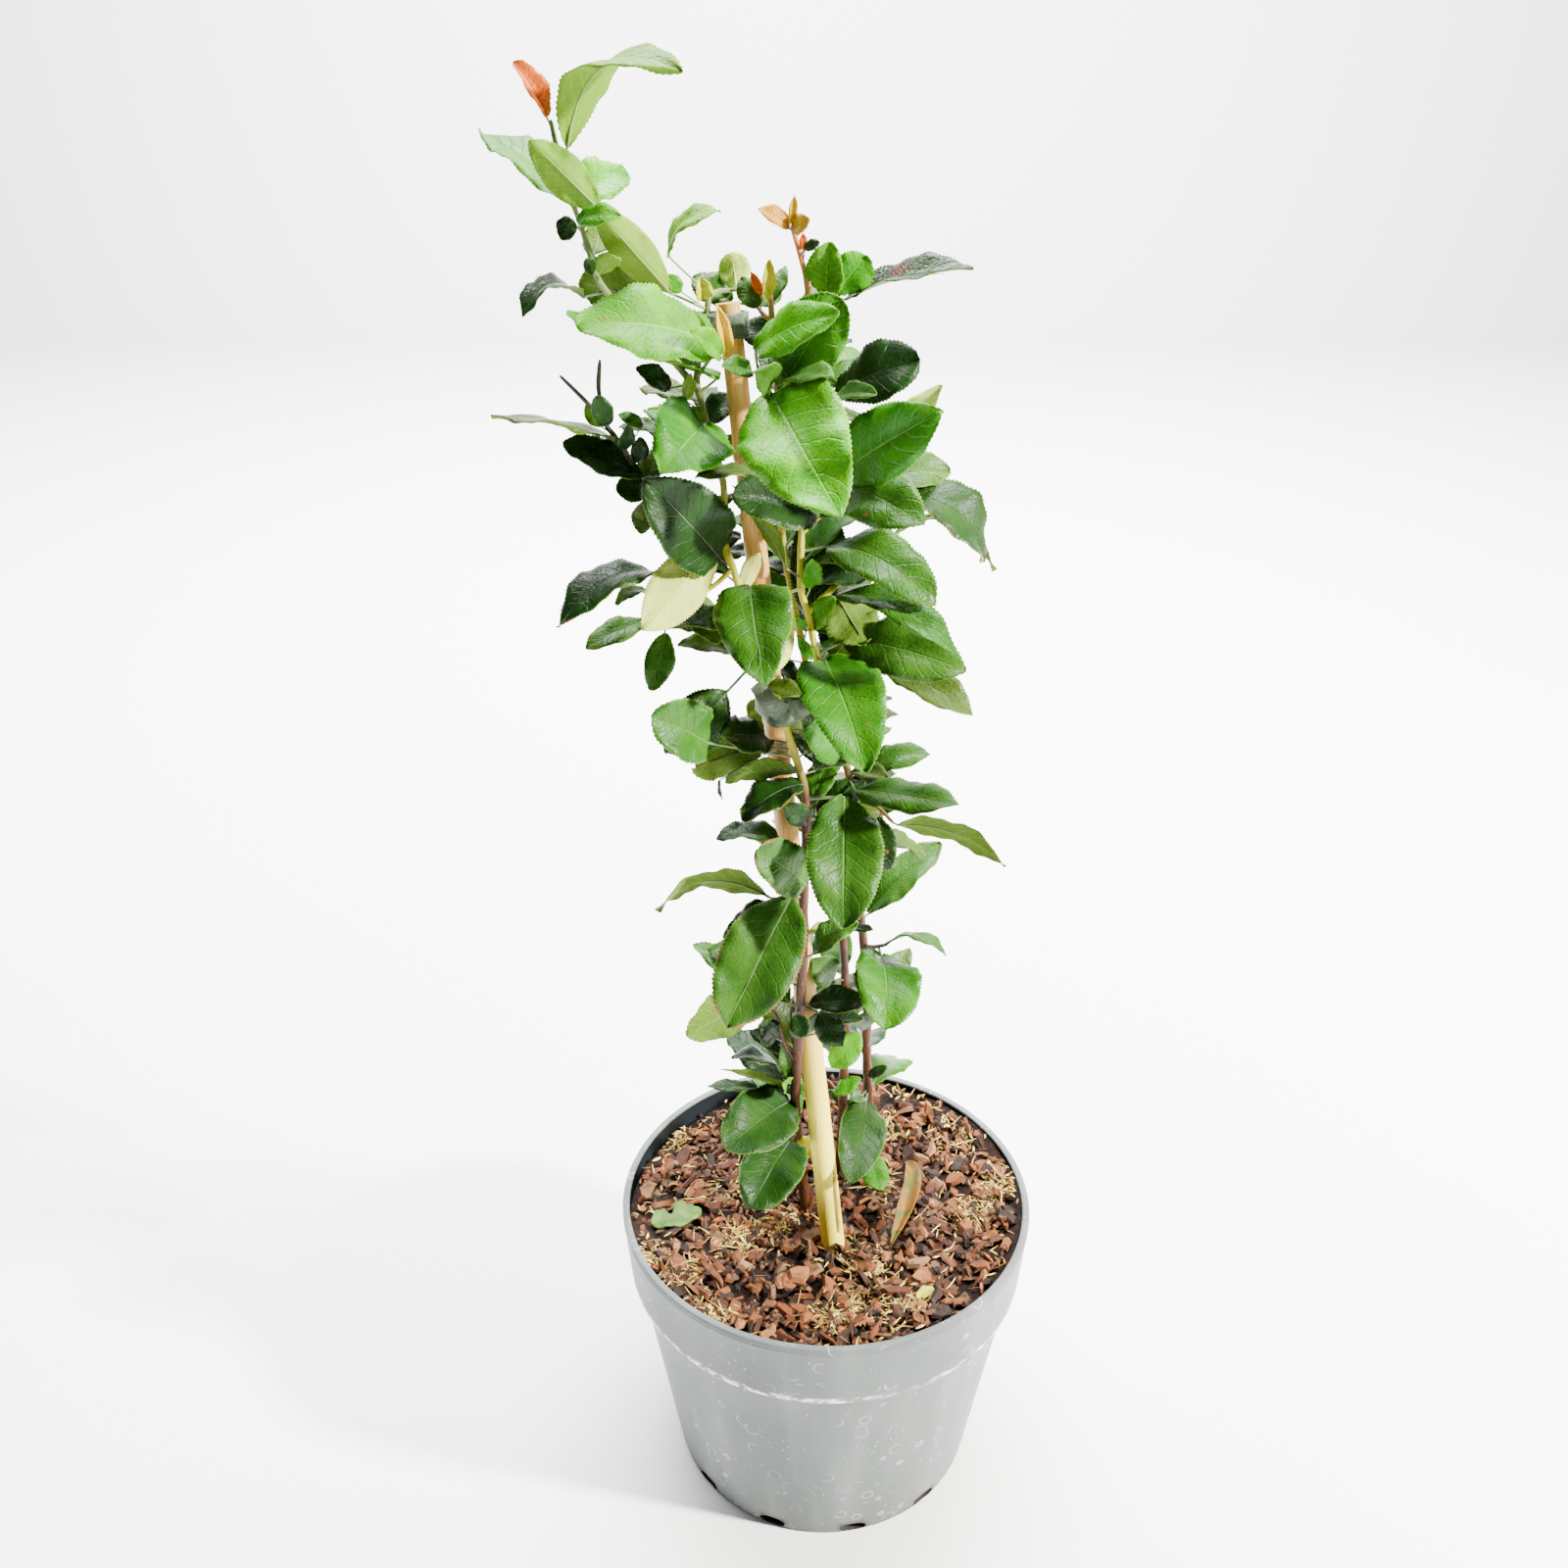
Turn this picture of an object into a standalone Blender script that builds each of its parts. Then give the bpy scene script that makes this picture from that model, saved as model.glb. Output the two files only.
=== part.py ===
"""A young flowering quince in a 19 cm nursery pot, tied to a bamboo cane. Metres, +Z up.

The origin is the centre of the pot's underside, and the plant's front faces -Y. The pot, the
growing mix, the bark mulch, the cane and the three ties are pieces of their own. Each of the
three leafy stems is one body with its twigs and leaves, and three shed leaves lie on the bark.
"""

import math
import random
from collections import namedtuple

import bmesh
import bpy
from mathutils import Matrix, Vector, noise
from mathutils.bvhtree import BVHTree

MM = 0.001

# Driving dimensions of the pot, in mm
POT_HEIGHT = 142.0
RIM_RADIUS = 95.0
BASE_RADIUS = 72.4
COLLAR_HEIGHT = 34.0
COLLAR_STEP = 3.2
COLLAR_DRAFT = 2.6
POT_WALL = 1.6
POT_SIDES = 36
LIP_WIDTH = 4.0
LIP_DEPTH = 3.0
DRAIN_HOLES = 12
DRAIN_WIDTH = 11.0
DRAIN_HEIGHT = 6.0
FIRST_DRAIN_ANGLE = 10.0

# Driving dimensions of what fills the pot, in mm
GAP = 0.35
HOLE_SLACK = 1.1
MIX_TOP = 120.0
BARK_TOP = 129.0
BARK_RELIEF = 1.6
BARK_CHIPS = 32
CHIP_SPACING = 15.0
ROOT_DEPTH = 52.0

# Driving dimensions of the cane, the ties, the stems and the leaves, in mm
CANE_FOOT_RADIUS = 5.7
CANE_TOP_RADIUS = 3.9
CANE_BOTTOM = 24.0
TIE_HEIGHT = 11.0
TIE_THICKNESS = 1.0
TIE_SLACK = 0.8
STEM_SPACING = 19.0
LEAF_THICKNESS = 0.7
PETIOLE_WIDTH = 1.8
PETIOLE_THICKNESS = 1.3
LEAF_CLEARANCE = 0.4

# The view that places on the plant are read from: a picture 1600 wide and high
EYE = Vector((-19.5, -502.8, 590.8))
TILT = math.radians(25.28)
FOCAL = 1400.0
PICTURE_CENTRE = 800.0


def seen(column, row, depth):
    """The place, in mm, that shows at a column and row of the view, depth mm behind the pot's axis."""
    ahead = Vector((0, math.cos(TILT), -math.sin(TILT)))
    above = Vector((0, math.sin(TILT), math.cos(TILT)))
    ray = FOCAL * ahead - (row - PICTURE_CENTRE) * above
    ray.x += column - PICTURE_CENTRE
    return EYE + ray * ((depth - EYE.y) / ray.y)


# The cane's two ends, and the stems' centre lines from the bark up: column, row, depth
CANE_PICKS = ((850, 1268, -22), (743, 309, -12))
STEM_LEFT_PICKS = (
    (822, 1232, 1), (812, 1140, -14), (813, 1090, -25), (816, 1040, -31), (819, 980, -32),
    (820, 920, -31), (822, 860, -28), (822, 815, -24), (815, 783, -25), (803, 745, -29),
    (790, 700, -30), (776, 665, -29), (765, 640, -27), (749, 583, -23), (739, 553, -20),
    (738, 493, -17), (727, 462, -15), (718, 420, -13), (711, 390, -12), (716, 350, -13),
    (721, 322, -13), (723, 300, -12),
)
STEM_MID_PICKS = (
    (857, 1197, 25), (860, 1120, 6), (863, 1040, -6), (860, 960, -6), (850, 880, -6),
    (842, 800, -6), (835, 745, -7), (818, 655, -4), (800, 560, -3), (796, 490, -4),
    (795, 430, -5), (791, 370, -5), (788, 330, -5), (786, 305, -5), (782, 282, -6),
)
STEM_RIGHT_PICKS = (
    (888, 1170, 45), (886, 1118, 24), (884, 1060, 5), (885, 1021, 3), (880, 950, 2),
    (872, 890, -1), (868, 802, -5), (853, 750, -8), (832, 663, -15), (825, 628, -16),
    (817, 598, -16), (818, 541, -14), (819, 480, -12), (821, 420, -12), (823, 360, -12),
    (824, 296, -12), (817, 262, -13), (811, 240, -13), (808, 229, -13),
)

Stem = namedtuple("Stem", "name picks foot_radius top_radius colour")
STEMS = (
    Stem("stem_left", STEM_LEFT_PICKS, 2.9, 1.3, (0.16, 0.06, 0.02)),
    Stem("stem_mid", STEM_MID_PICKS, 2.6, 1.1, (0.18, 0.08, 0.03)),
    Stem("stem_right", STEM_RIGHT_PICKS, 2.8, 1.0, (0.2, 0.07, 0.025)),
)

# Twigs leave the stem that their first pick lies on
Twig = namedtuple("Twig", "stem picks foot_radius top_radius")
TWIGS = (
    Twig("stem_left", ((711, 398, -12), (690, 372, -14), (665, 345, -17), (636, 318, -20), (612, 288, -24),
                       (603, 262, -26), (592, 228, -27), (580, 195, -27), (571, 162, -26), (565, 138, -25),
                       (562, 122, -25)), 1.5, 0.8),
    Twig("stem_left", ((738, 522, -18), (700, 508, -18), (668, 500, -20), (655, 491, -21), (640, 466, -22),
                       (628, 446, -22), (618, 432, -22), (611, 399, -22), (612, 367, -22)), 1.4, 0.8),
    Twig("stem_left", ((618, 434, -22), (600, 412, -23), (571, 383, -24)), 0.9, 0.7),
    Twig("stem_left", ((812, 1086, -25), (799, 1062, -30), (792, 1036, -31), (775, 1018, -28)), 1.1, 0.8),
    Twig("stem_left", ((722, 303, -12), (734, 297, -8), (750, 296, -3)), 1.1, 0.8),
    Twig("stem_mid", ((794, 415, -5), (783, 396, -6), (774, 380, -8)), 1.2, 0.8),
    Twig("stem_mid", ((788, 328, -5), (779, 321, -4), (773, 313, -3)), 1.0, 0.8),
    Twig("stem_right", ((818, 545, -14), (843, 520, -14), (863, 499, -15)), 1.3, 0.8),
    Twig("stem_right", ((824, 626, -16), (846, 604, -15), (868, 586, -12), (890, 570, -9), (902, 563, -8)), 1.4, 0.8),
    Twig("stem_right", ((824, 318, -12), (844, 304, -9), (861, 306, -5)), 1.2, 0.8),
    Twig("stem_right", ((821, 428, -12), (834, 414, -12), (848, 406, -11)), 1.1, 0.8),
    Twig("stem_right", ((820, 515, -13), (842, 496, -13), (862, 482, -13)), 1.1, 0.8),
    Twig("stem_right", ((869, 818, -5), (893, 822, -10), (912, 840, -16)), 1.1, 0.8),
    Twig("stem_right", ((880, 966, 2), (893, 966, -8), (904, 964, -15)), 1.1, 0.8),
)

# A leaf is read off the view too: foot and tip of its blade as column, row and depth, and its width in mm.
# Its turn about its own length, in degrees, is 0 face on and 180 from below, and its twist is the further
# turn at the tip. Its arch is a share of its length, its fold the angle of each half, and its form is below.
# Its stalk comes from the nearest stem or twig, or from the one nearest to its root where that is given.
Leaf = namedtuple("Leaf", "foot tip width turn arch twist fold form root")


def leaf(foot, tip, width, turn=0, arch=0.08, twist=0, fold=8, form="oval", root=None):
    """One leaf's row, with what most leaves share left out."""
    return Leaf(foot, tip, width, turn, arch, twist, fold, form, root)


LEAVES = (
    # the long shoot at the top left
    leaf((558, 119, -25), (524, 62, -28), 11, turn=35, fold=35),
    leaf((579, 150, -27), (697, 74, -44), 20, turn=-145, arch=0.30, twist=85, fold=4),
    leaf((586, 212, -20), (492, 142, 4), 20, turn=55),
    leaf((612, 214, -29), (540, 143, -36), 18, turn=180, arch=-0.06, fold=32),
    leaf((684, 299, -20), (603, 222, -34), 18, turn=180, arch=-0.05, fold=32),
    leaf((588, 224, -33), (633, 219, -42), 9, turn=-40),
    leaf((588, 198, -20), (643, 177, -8), 17, turn=-35, form="broad"),
    leaf((606, 261, -22), (612, 222, -8), 11, turn=160),
    leaf((589, 231, -24), (569, 237, -22), 8, turn=20, form="round"),
    leaf((606, 278, -28), (597, 264, -32), 5, turn=15, form="round"),
    leaf((611, 278, -30), (629, 263, -38), 7, turn=-150, form="round"),
    leaf((682, 262, -10), (735, 213, -18), 12, turn=-65, arch=0.22),
    leaf((596, 303, -24), (530, 322, -36), 15, turn=70, arch=0.30),
    leaf((656, 308, -22), (584, 284, -14), 26, turn=150, arch=0.05),
    # the crown
    leaf((733, 354, -23), (588, 334, -46), 30, turn=40, arch=0.12, root=(713, 385, -12)),
    leaf((735, 384, -12), (577, 326, -26), 22, turn=78, arch=-0.03),
    leaf((695, 298, -12), (680, 280, -15), 6),
    leaf((752, 298, 2), (746, 258, 6), 12, turn=170, form="spoon"),
    leaf((746, 308, 4), (706, 282, 8), 14, turn=30),
    leaf((718, 305, -17), (715, 284, -20), 8, turn=10, fold=35, root=(722, 301, -12)),
    leaf((742, 364, -22), (731, 310, -28), 8, turn=15, fold=40, form="long"),
    leaf((736, 364, -26), (703, 338, -46), 9, turn=35),
    leaf((783, 305, -6), (784, 265, -8), 7, turn=15, fold=35, form="long"),
    leaf((777, 300, -4), (766, 277, -8), 4, fold=30, form="long"),
    leaf((789, 307, -4), (802, 271, 2), 8, turn=-35, form="long"),
    leaf((772, 314, -4), (757, 286, -8), 10, turn=20),
    leaf((775, 312, 0), (795, 296, 8), 8, turn=-20),
    leaf((808, 228, -13), (811, 199, -15), 4, fold=35, form="long"),
    leaf((806, 232, -13), (774, 214, -17), 7, turn=35, arch=0.14),
    leaf((809, 234, -13), (832, 221, -18), 7, turn=-25, arch=0.12),
    leaf((821, 256, -13), (819, 238, -16), 3, form="long"),
    leaf((821, 253, -16), (836, 247, -20), 4, turn=-20, form="round"),
    leaf((844, 301, -10), (847, 247, -16), 15, turn=-20, fold=14),
    leaf((850, 302, -10), (880, 265, -18), 15, turn=10, form="spoon"),
    leaf((862, 305, -6), (993, 280, -24), 17, turn=-66, arch=0.08, fold=14),
    leaf((770, 358, -14), (858, 321, -38), 18, turn=-35, arch=0.10),
    leaf((798, 398, -10), (860, 306, -24), 28, turn=-18, arch=0.10, form="round"),
    leaf((797, 396, -14), (858, 378, -42), 13, turn=-72),
    leaf((786, 395, -14), (757, 361, -36), 14, turn=30),
    leaf((768, 379, -20), (737, 373, -36), 8, turn=30),
    leaf((800, 347, -4), (756, 334, 4), 13, turn=25),
    leaf((788, 402, -26), (859, 528, -66), 39, turn=2, arch=0.08, form="broad", root=(794, 408, -5)),
    leaf((851, 404, -12), (939, 369, -26), 23, turn=-28, arch=0.12, form="spoon"),
    leaf((849, 408, -16), (903, 399, -30), 9, turn=-50),
    leaf((860, 483, -16), (958, 421, -50), 28, turn=-14, arch=0.08, fold=14),
    leaf((866, 462, -4), (964, 393, -14), 12, turn=155),
    leaf((866, 497, -16), (894, 461, -26), 6, turn=-160, form="long"),
    leaf((866, 499, -14), (966, 484, -2), 20, turn=-35, arch=0.12),
    leaf((864, 500, -18), (943, 537, -52), 24, turn=-22, arch=0.14),
    leaf((904, 503, -10), (1008, 563, -34), 26, turn=-48, arch=0.26),
    leaf((893, 563, -9), (1026, 580, -22), 22, turn=-98, arch=0.32),
    leaf((847, 557, -14), (957, 616, -44), 24, turn=-32, arch=0.16),
    leaf((852, 609, -16), (976, 669, -52), 18, turn=-48, arch=0.16),
    leaf((856, 611, -10), (884, 656, -24), 22, turn=165),
    leaf((829, 640, -14), (853, 610, -22), 10, turn=-30),
    leaf((863, 653, -14), (972, 682, -48), 26, turn=-24, arch=0.10),
    leaf((904, 683, -18), (994, 728, -34), 17, turn=-36, arch=0.08),
    leaf((848, 674, -12), (866, 650, -14), 10, turn=160),
    leaf((842, 675, -22), (884, 788, -62), 32, turn=-14, arch=0.12, form="broad"),
    leaf((862, 764, -24), (822, 742, -40), 19, turn=12, form="round"),
    leaf((827, 600, -18), (828, 570, -22), 8, turn=20),
    leaf((829, 673, -20), (813, 648, -26), 5, form="long"),
    leaf((822, 641, -22), (812, 630, -25), 4, form="long"),
    leaf((765, 598, -30), (780, 698, -62), 30, turn=4, arch=0.06, form="spade"),
    leaf((800, 606, -24), (757, 698, -42), 26, turn=172),
    leaf((757, 604, -24), (773, 568, -28), 7, turn=-160),
    leaf((803, 580, -22), (745, 497, -22), 9, turn=130, form="long"),
    leaf((833, 524, -20), (746, 506, -36), 24, turn=18, fold=24, form="round"),
    leaf((778, 485, -24), (709, 487, -42), 12, turn=65),
    leaf((719, 433, -17), (676, 480, -50), 31, turn=8, form="broad"),
    leaf((718, 431, -14), (704, 416, -18), 6),
    leaf((722, 432, -8), (746, 401, -4), 11, turn=-20),
    leaf((629, 449, -22), (502, 430, -20), 18, turn=84, arch=0.06),
    leaf((619, 434, -24), (608, 404, -28), 8, turn=10, form="round"),
    leaf((613, 435, -20), (598, 412, -16), 7, turn=170),
    leaf((656, 434, -18), (631, 423, -24), 5, turn=20),
    leaf((651, 472, -20), (654, 446, -24), 7, turn=10),
    leaf((636, 458, -25), (642, 434, -34), 6, turn=20),
    leaf((655, 487, -23), (582, 449, -34), 17, turn=40),
    leaf((660, 492, -18), (672, 458, -10), 11, turn=-15),
    leaf((657, 498, -22), (631, 501, -30), 11, turn=15, form="round"),
    leaf((658, 512, -20), (655, 545, -26), 9, turn=10),
    leaf((736, 572, -18), (660, 490, -46), 29, turn=8, form="oval"),
    leaf((735, 548, -14), (706, 500, -12), 12, turn=20),
    leaf((684, 396, -12), (649, 376, -20), 9, turn=30),
    leaf((714, 366, -16), (683, 352, -28), 9, turn=20, form="round"),
    leaf((699, 409, -14), (706, 374, -16), 5, turn=165, form="long"),
    # the left side, from the middle down
    leaf((668, 583, -20), (570, 640, -42), 20, turn=50, arch=0.20),
    leaf((661, 605, -20), (628, 617, -28), 8, turn=50, arch=0.25),
    leaf((660, 633, -18), (597, 660, -32), 12, turn=35, arch=0.06),
    leaf((728, 556, -18), (664, 650, -48), 21, turn=174, arch=-0.04),
    leaf((679, 646, -30), (664, 704, -38), 12, turn=-15),
    leaf((712, 606, -18), (692, 617, -24), 5),
    leaf((712, 638, -12), (683, 634, -18), 9, turn=30),
    leaf((713, 606, -14), (742, 663, -26), 14, turn=160),
    leaf((748, 665, -14), (692, 656, -24), 10, turn=45),
    leaf((742, 706, -26), (680, 770, -38), 24, turn=-16, root=(777, 667, -29)),
    leaf((722, 758, -42), (664, 731, -60), 23, turn=12, arch=0.10, form="round", root=(812, 772, -26)),
    leaf((786, 755, -28), (724, 747, -30), 20, turn=42, arch=0.10),
    leaf((780, 762, -26), (722, 781, -46), 22, turn=150, form="round"),
    leaf((786, 742, -8), (766, 714, -6), 11, turn=165, form="round"),
    leaf((784, 699, -38), (818, 709, -44), 8, turn=-30),
    leaf((813, 787, -26), (738, 795, -40), 13, turn=128, arch=0.08),
    leaf((819, 800, -26), (758, 838, -42), 19, turn=46, arch=0.12),
    leaf((822, 902, -32), (770, 868, -44), 22, turn=18, form="round"),
    leaf((822, 838, -30), (802, 822, -34), 10, form="round"),
    leaf((734, 796, -44), (737, 816, -48), 2.5, turn=60, form="long"),
    leaf((785, 915, -26), (668, 927, -46), 20, turn=112, arch=0.20),
    leaf((808, 914, -34), (741, 1050, -66), 33, turn=4, arch=0.06),
    leaf((775, 1018, -28), (700, 1057, -40), 22, turn=150, arch=0.04),
    # the right side, from the middle down
    leaf((861, 813, -24), (860, 947, -60), 31, turn=-4, arch=0.08),
    leaf((872, 806, -20), (979, 826, -50), 20, turn=-46, arch=0.04),
    leaf((868, 788, -20), (906, 795, -34), 10, turn=-50),
    leaf((912, 841, -17), (1027, 883, -34), 16, turn=-122, arch=0.13),
    leaf((897, 834, -12), (905, 889, -22), 11, turn=-10),
    leaf((903, 964, -16), (967, 973, -32), 12, turn=-74, arch=0.20),
    leaf((832, 912, -22), (856, 940, -30), 8, turn=160),
    leaf((862, 949, -16), (824, 954, -24), 10, turn=50),
    leaf((864, 948, -14), (891, 950, -22), 6, turn=-50),
    leaf((850, 1000, -14), (824, 974, -18), 15, turn=10),
    leaf((886, 980, -14), (892, 1023, -34), 14, turn=5, form="round"),
    leaf((899, 974, -14), (906, 1071, -48), 29, turn=-20, arch=0.10, form="round"),
    # low on the stems
    leaf((793, 1060, -32), (776, 1046, -36), 12, turn=10, form="round"),
    leaf((808, 1098, -22), (798, 1064, -28), 9, turn=10),
    leaf((836, 1034, -40), (858, 1067, -46), 13, turn=5),
    leaf((812, 1036, -38), (821, 1058, -44), 9, turn=5),
    leaf((878, 1055, -8), (848, 1090, -14), 14, turn=8),
    leaf((886, 1098, 8), (905, 1088, 6), 5, form="round"),
    leaf((797, 1100, -18), (747, 1078, -28), 15, turn=70, arch=0.18),
    leaf((800, 1106, -20), (779, 1085, -30), 8, turn=20),
    leaf((808, 1117, -14), (737, 1096, -34), 8, turn=115),
    leaf((780, 1114, -10), (722, 1110, -14), 9, turn=50),
    leaf((806, 1123, -18), (741, 1172, -56), 29, turn=10, form="round"),
    leaf((808, 1160, -14), (768, 1143, -26), 14, turn=25),
    leaf((806, 1164, -20), (766, 1232, -58), 28, turn=8, form="round"),
    leaf((822, 1160, -12), (817, 1186, -18), 9, turn=5),
    leaf((884, 1122, 14), (866, 1208, -30), 23, turn=-12),
    leaf((886, 1180, 12), (898, 1216, -14), 14, turn=-10, form="round"),
    leaf((880, 1118, 14), (850, 1128, 2), 8, turn=20),
    leaf((852, 1116, -2), (878, 1100, -2), 8, turn=-20),
)

# A form is the pair of powers that shape the edge: half width = share ** first * (1 - share) ** second
FORMS = {
    "oval": (0.70, 0.72),
    "broad": (0.46, 0.74),
    "spade": (0.28, 0.72),
    "round": (0.52, 0.52),
    "spoon": (0.95, 0.55),
    "long": (0.80, 0.90),
}
# Where rows of points cross a blade that is at least so many mm long
STATIONS = ((39, (0.12, 0.36, 0.64, 0.86)), (22, (0.2, 0.5, 0.8)), (11, (0.32, 0.7)), (0, (0.45,)))
RIPPLE = 0.045

# Leaves on the side away from the view: up the stem by turns, to either side of the way that faces
# the open air behind each stem, in degrees right of straight back
HIDDEN_BEARING = {"stem_left": -36.0, "stem_mid": -2.0, "stem_right": 20.0}
HIDDEN_SWING = (3.0, 26.0)
HIDDEN_SPACING = 27.0
HIDDEN_LOWEST = 172.0
HIDDEN_BELOW_TOP = 40.0
HIDDEN_LENGTH = (32.0, 48.0)
HIDDEN_LIFT = (-22.0, 34.0)
HIDDEN_SLIMNESS = (0.44, 0.56)

# Turns, in degrees, that bend a leaf clear of its neighbours: away from the view, then sideways
BENDS = [(0, 0)]
for aside in (0, 5, -5, 10, -10, 16, -16, 22, -22):
    BENDS += [(away, aside) for away in (0, 6, -6, 12, -12, 18, -18, 24, -24, 30, -30)]

# Shed leaves on the bark: foot and tip as column and row, width in mm, curl as a share of the length
Shed = namedtuple("Shed", "name foot tip width curl colour")
SHED_LEAVES = (
    Shed("shed_leaf_dry", (908, 1272), (925, 1184), 10, 0.10, (0.45, 0.25, 0.05)),
    Shed("shed_leaf_green", (718, 1236), (664, 1252), 17, 0.05, (0.33, 0.45, 0.16)),
    Shed("shed_leaf_yellow", (952, 1316), (936, 1328), 6, 0.05, (0.6, 0.5, 0.1)),
)

Blade = namedtuple("Blade", "root foot tip face width arch twist fold form phase")


def finish(name, colour, roughness):
    """A plain material: its colour and how rough it is."""
    material = bpy.data.materials.new(name)
    material.use_nodes = True
    shader = material.node_tree.nodes["Principled BSDF"]
    shader.inputs["Base Color"].default_value = (*colour, 1)
    shader.inputs["Roughness"].default_value = roughness
    shader.inputs["Metallic"].default_value = 0
    return material


def solid(name, shape, material=None, smooth=False):
    """An object made from a bmesh that is measured in mm."""
    bmesh.ops.recalc_face_normals(shape, faces=shape.faces)
    bmesh.ops.scale(shape, vec=(MM, MM, MM), verts=shape.verts)
    mesh = bpy.data.meshes.new(name)
    shape.to_mesh(mesh)
    shape.free()
    if smooth:
        mesh.shade_smooth()
        mesh.set_sharp_from_angle(angle=math.radians(35))
    body = bpy.data.objects.new(name, mesh)
    bpy.context.scene.collection.objects.link(body)
    if material:
        mesh.materials.append(material)
    return body


def drop(body):
    """Remove an object that has done its work, with its mesh."""
    mesh = body.data
    bpy.data.objects.remove(body)
    bpy.data.meshes.remove(mesh)


def join_repeats(body, repeats):
    """Fuse small bodies into the one that they grow from, in one union."""
    group = bpy.data.collections.new(body.name + "_repeats")
    bpy.context.scene.collection.children.link(group)
    for repeat in repeats:
        group.objects.link(repeat)
    union = body.modifiers.new("repeats", "BOOLEAN")
    union.operation = "UNION"
    union.operand_type = "COLLECTION"
    union.collection = group
    union.solver = "MANIFOLD"
    bpy.context.view_layer.objects.active = body
    bpy.ops.object.modifier_apply(modifier=union.name)
    for repeat in repeats:
        drop(repeat)
    bpy.data.collections.remove(group)
    keep_largest_shell(body)


def keep_largest_shell(body):
    """Fill the small hollows that a union has sealed, and drop scraps that it has left loose."""
    shape = bmesh.new()
    shape.from_mesh(body.data)
    waiting = set(shape.verts)
    shells = []
    while waiting:
        start = waiting.pop()
        shell = {start}
        edge_of_search = [start]
        while edge_of_search:
            vert = edge_of_search.pop()
            for edge in vert.link_edges:
                other = edge.other_vert(vert)
                if other in waiting:
                    waiting.remove(other)
                    shell.add(other)
                    edge_of_search.append(other)
        shells.append(shell)
    shells.sort(key=len)
    for shell in shells[:-1]:
        bmesh.ops.delete(shape, geom=list(shell), context="VERTS")
    shape.to_mesh(body.data)
    shape.free()


def turned(profile, sides):
    """A closed profile of (radius, height) pairs turned about Z. Points on the axis close it."""
    shape = bmesh.new()
    rings = []
    for radius, height in profile:
        if radius == 0:
            rings.append([shape.verts.new((0, 0, height))])
            continue
        angles = [2 * math.pi * k / sides for k in range(sides)]
        rings.append([shape.verts.new((radius * math.cos(a), radius * math.sin(a), height)) for a in angles])
    pairs = list(zip(rings, rings[1:]))
    if profile[0][0] and profile[-1][0]:
        pairs.append((rings[-1], rings[0]))
    for low, high in pairs:
        for k in range(sides):
            corners = [low[k % len(low)], low[(k + 1) % len(low)], high[(k + 1) % len(high)], high[k % len(high)]]
            shape.faces.new(list(dict.fromkeys(corners)))
    return shape


def box(shape, centre, size, turn):
    """Add a box of a size to a bmesh, turned and then moved to its centre."""
    corners = bmesh.ops.create_cube(shape, size=1, matrix=Matrix.Diagonal((*size, 1)))["verts"]
    bmesh.ops.rotate(shape, verts=corners, matrix=turn)
    bmesh.ops.translate(shape, verts=corners, vec=centre)
    return corners


def curve_through(points, spacing):
    """Points about one spacing apart on a smooth curve through the given points."""
    ends = [2 * points[0] - points[1]] + list(points) + [2 * points[-1] - points[-2]]
    route = [points[0].copy()]
    for before, start, end, after in zip(ends, ends[1:], ends[2:], ends[3:]):
        steps = max(1, round((end - start).length / spacing))
        for step in range(1, steps + 1):
            t = step / steps
            swing = (end - before) * t + (2 * before - 5 * start + 4 * end - after) * t ** 2
            swing += (3 * start - before - 3 * end + after) * t ** 3
            route.append(start + swing / 2)
    return route


def points_along(route):
    """Points about a millimetre apart on the straight runs of a route."""
    points = []
    for start, end in zip(route, route[1:]):
        count = math.ceil((end - start).length)
        points += [start.lerp(end, step / count) for step in range(count)]
    return points + [route[-1].copy()]


def tube(route, foot_radius, top_radius, sides):
    """A closed tube along a route, tapering from its foot to its top."""
    shape = bmesh.new()
    across = (route[1] - route[0]).orthogonal().normalized()
    rings = []
    for place, point in enumerate(route):
        ahead = route[min(place + 1, len(route) - 1)] - route[max(place - 1, 0)]
        across = (across - ahead * across.dot(ahead) / ahead.length_squared).normalized()
        beside = ahead.cross(across).normalized()
        radius = foot_radius + (top_radius - foot_radius) * place / (len(route) - 1)
        ring = []
        for side in range(sides):
            angle = 2 * math.pi * side / sides
            ring.append(shape.verts.new(point + (across * math.cos(angle) + beside * math.sin(angle)) * radius))
        rings.append(ring)
    for low, high in zip(rings, rings[1:]):
        for side in range(sides):
            after = (side + 1) % sides
            shape.faces.new((low[side], low[after], high[after], high[side]))
    shape.faces.new(rings[0])
    shape.faces.new(rings[-1])
    return shape


def surface(shape):
    """A search tree of a bmesh's faces, for finding what crosses it."""
    return BVHTree.FromBMesh(shape)


# The pot

def wall_radius(height):
    """The pot's outer radius at a height on its body or its collar."""
    collar_foot = POT_HEIGHT - COLLAR_HEIGHT
    if height >= collar_foot:
        return RIM_RADIUS - COLLAR_DRAFT * (POT_HEIGHT - height) / COLLAR_HEIGHT
    body_top = RIM_RADIUS - COLLAR_DRAFT - COLLAR_STEP
    return BASE_RADIUS + (body_top - BASE_RADIUS) * height / collar_foot


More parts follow.
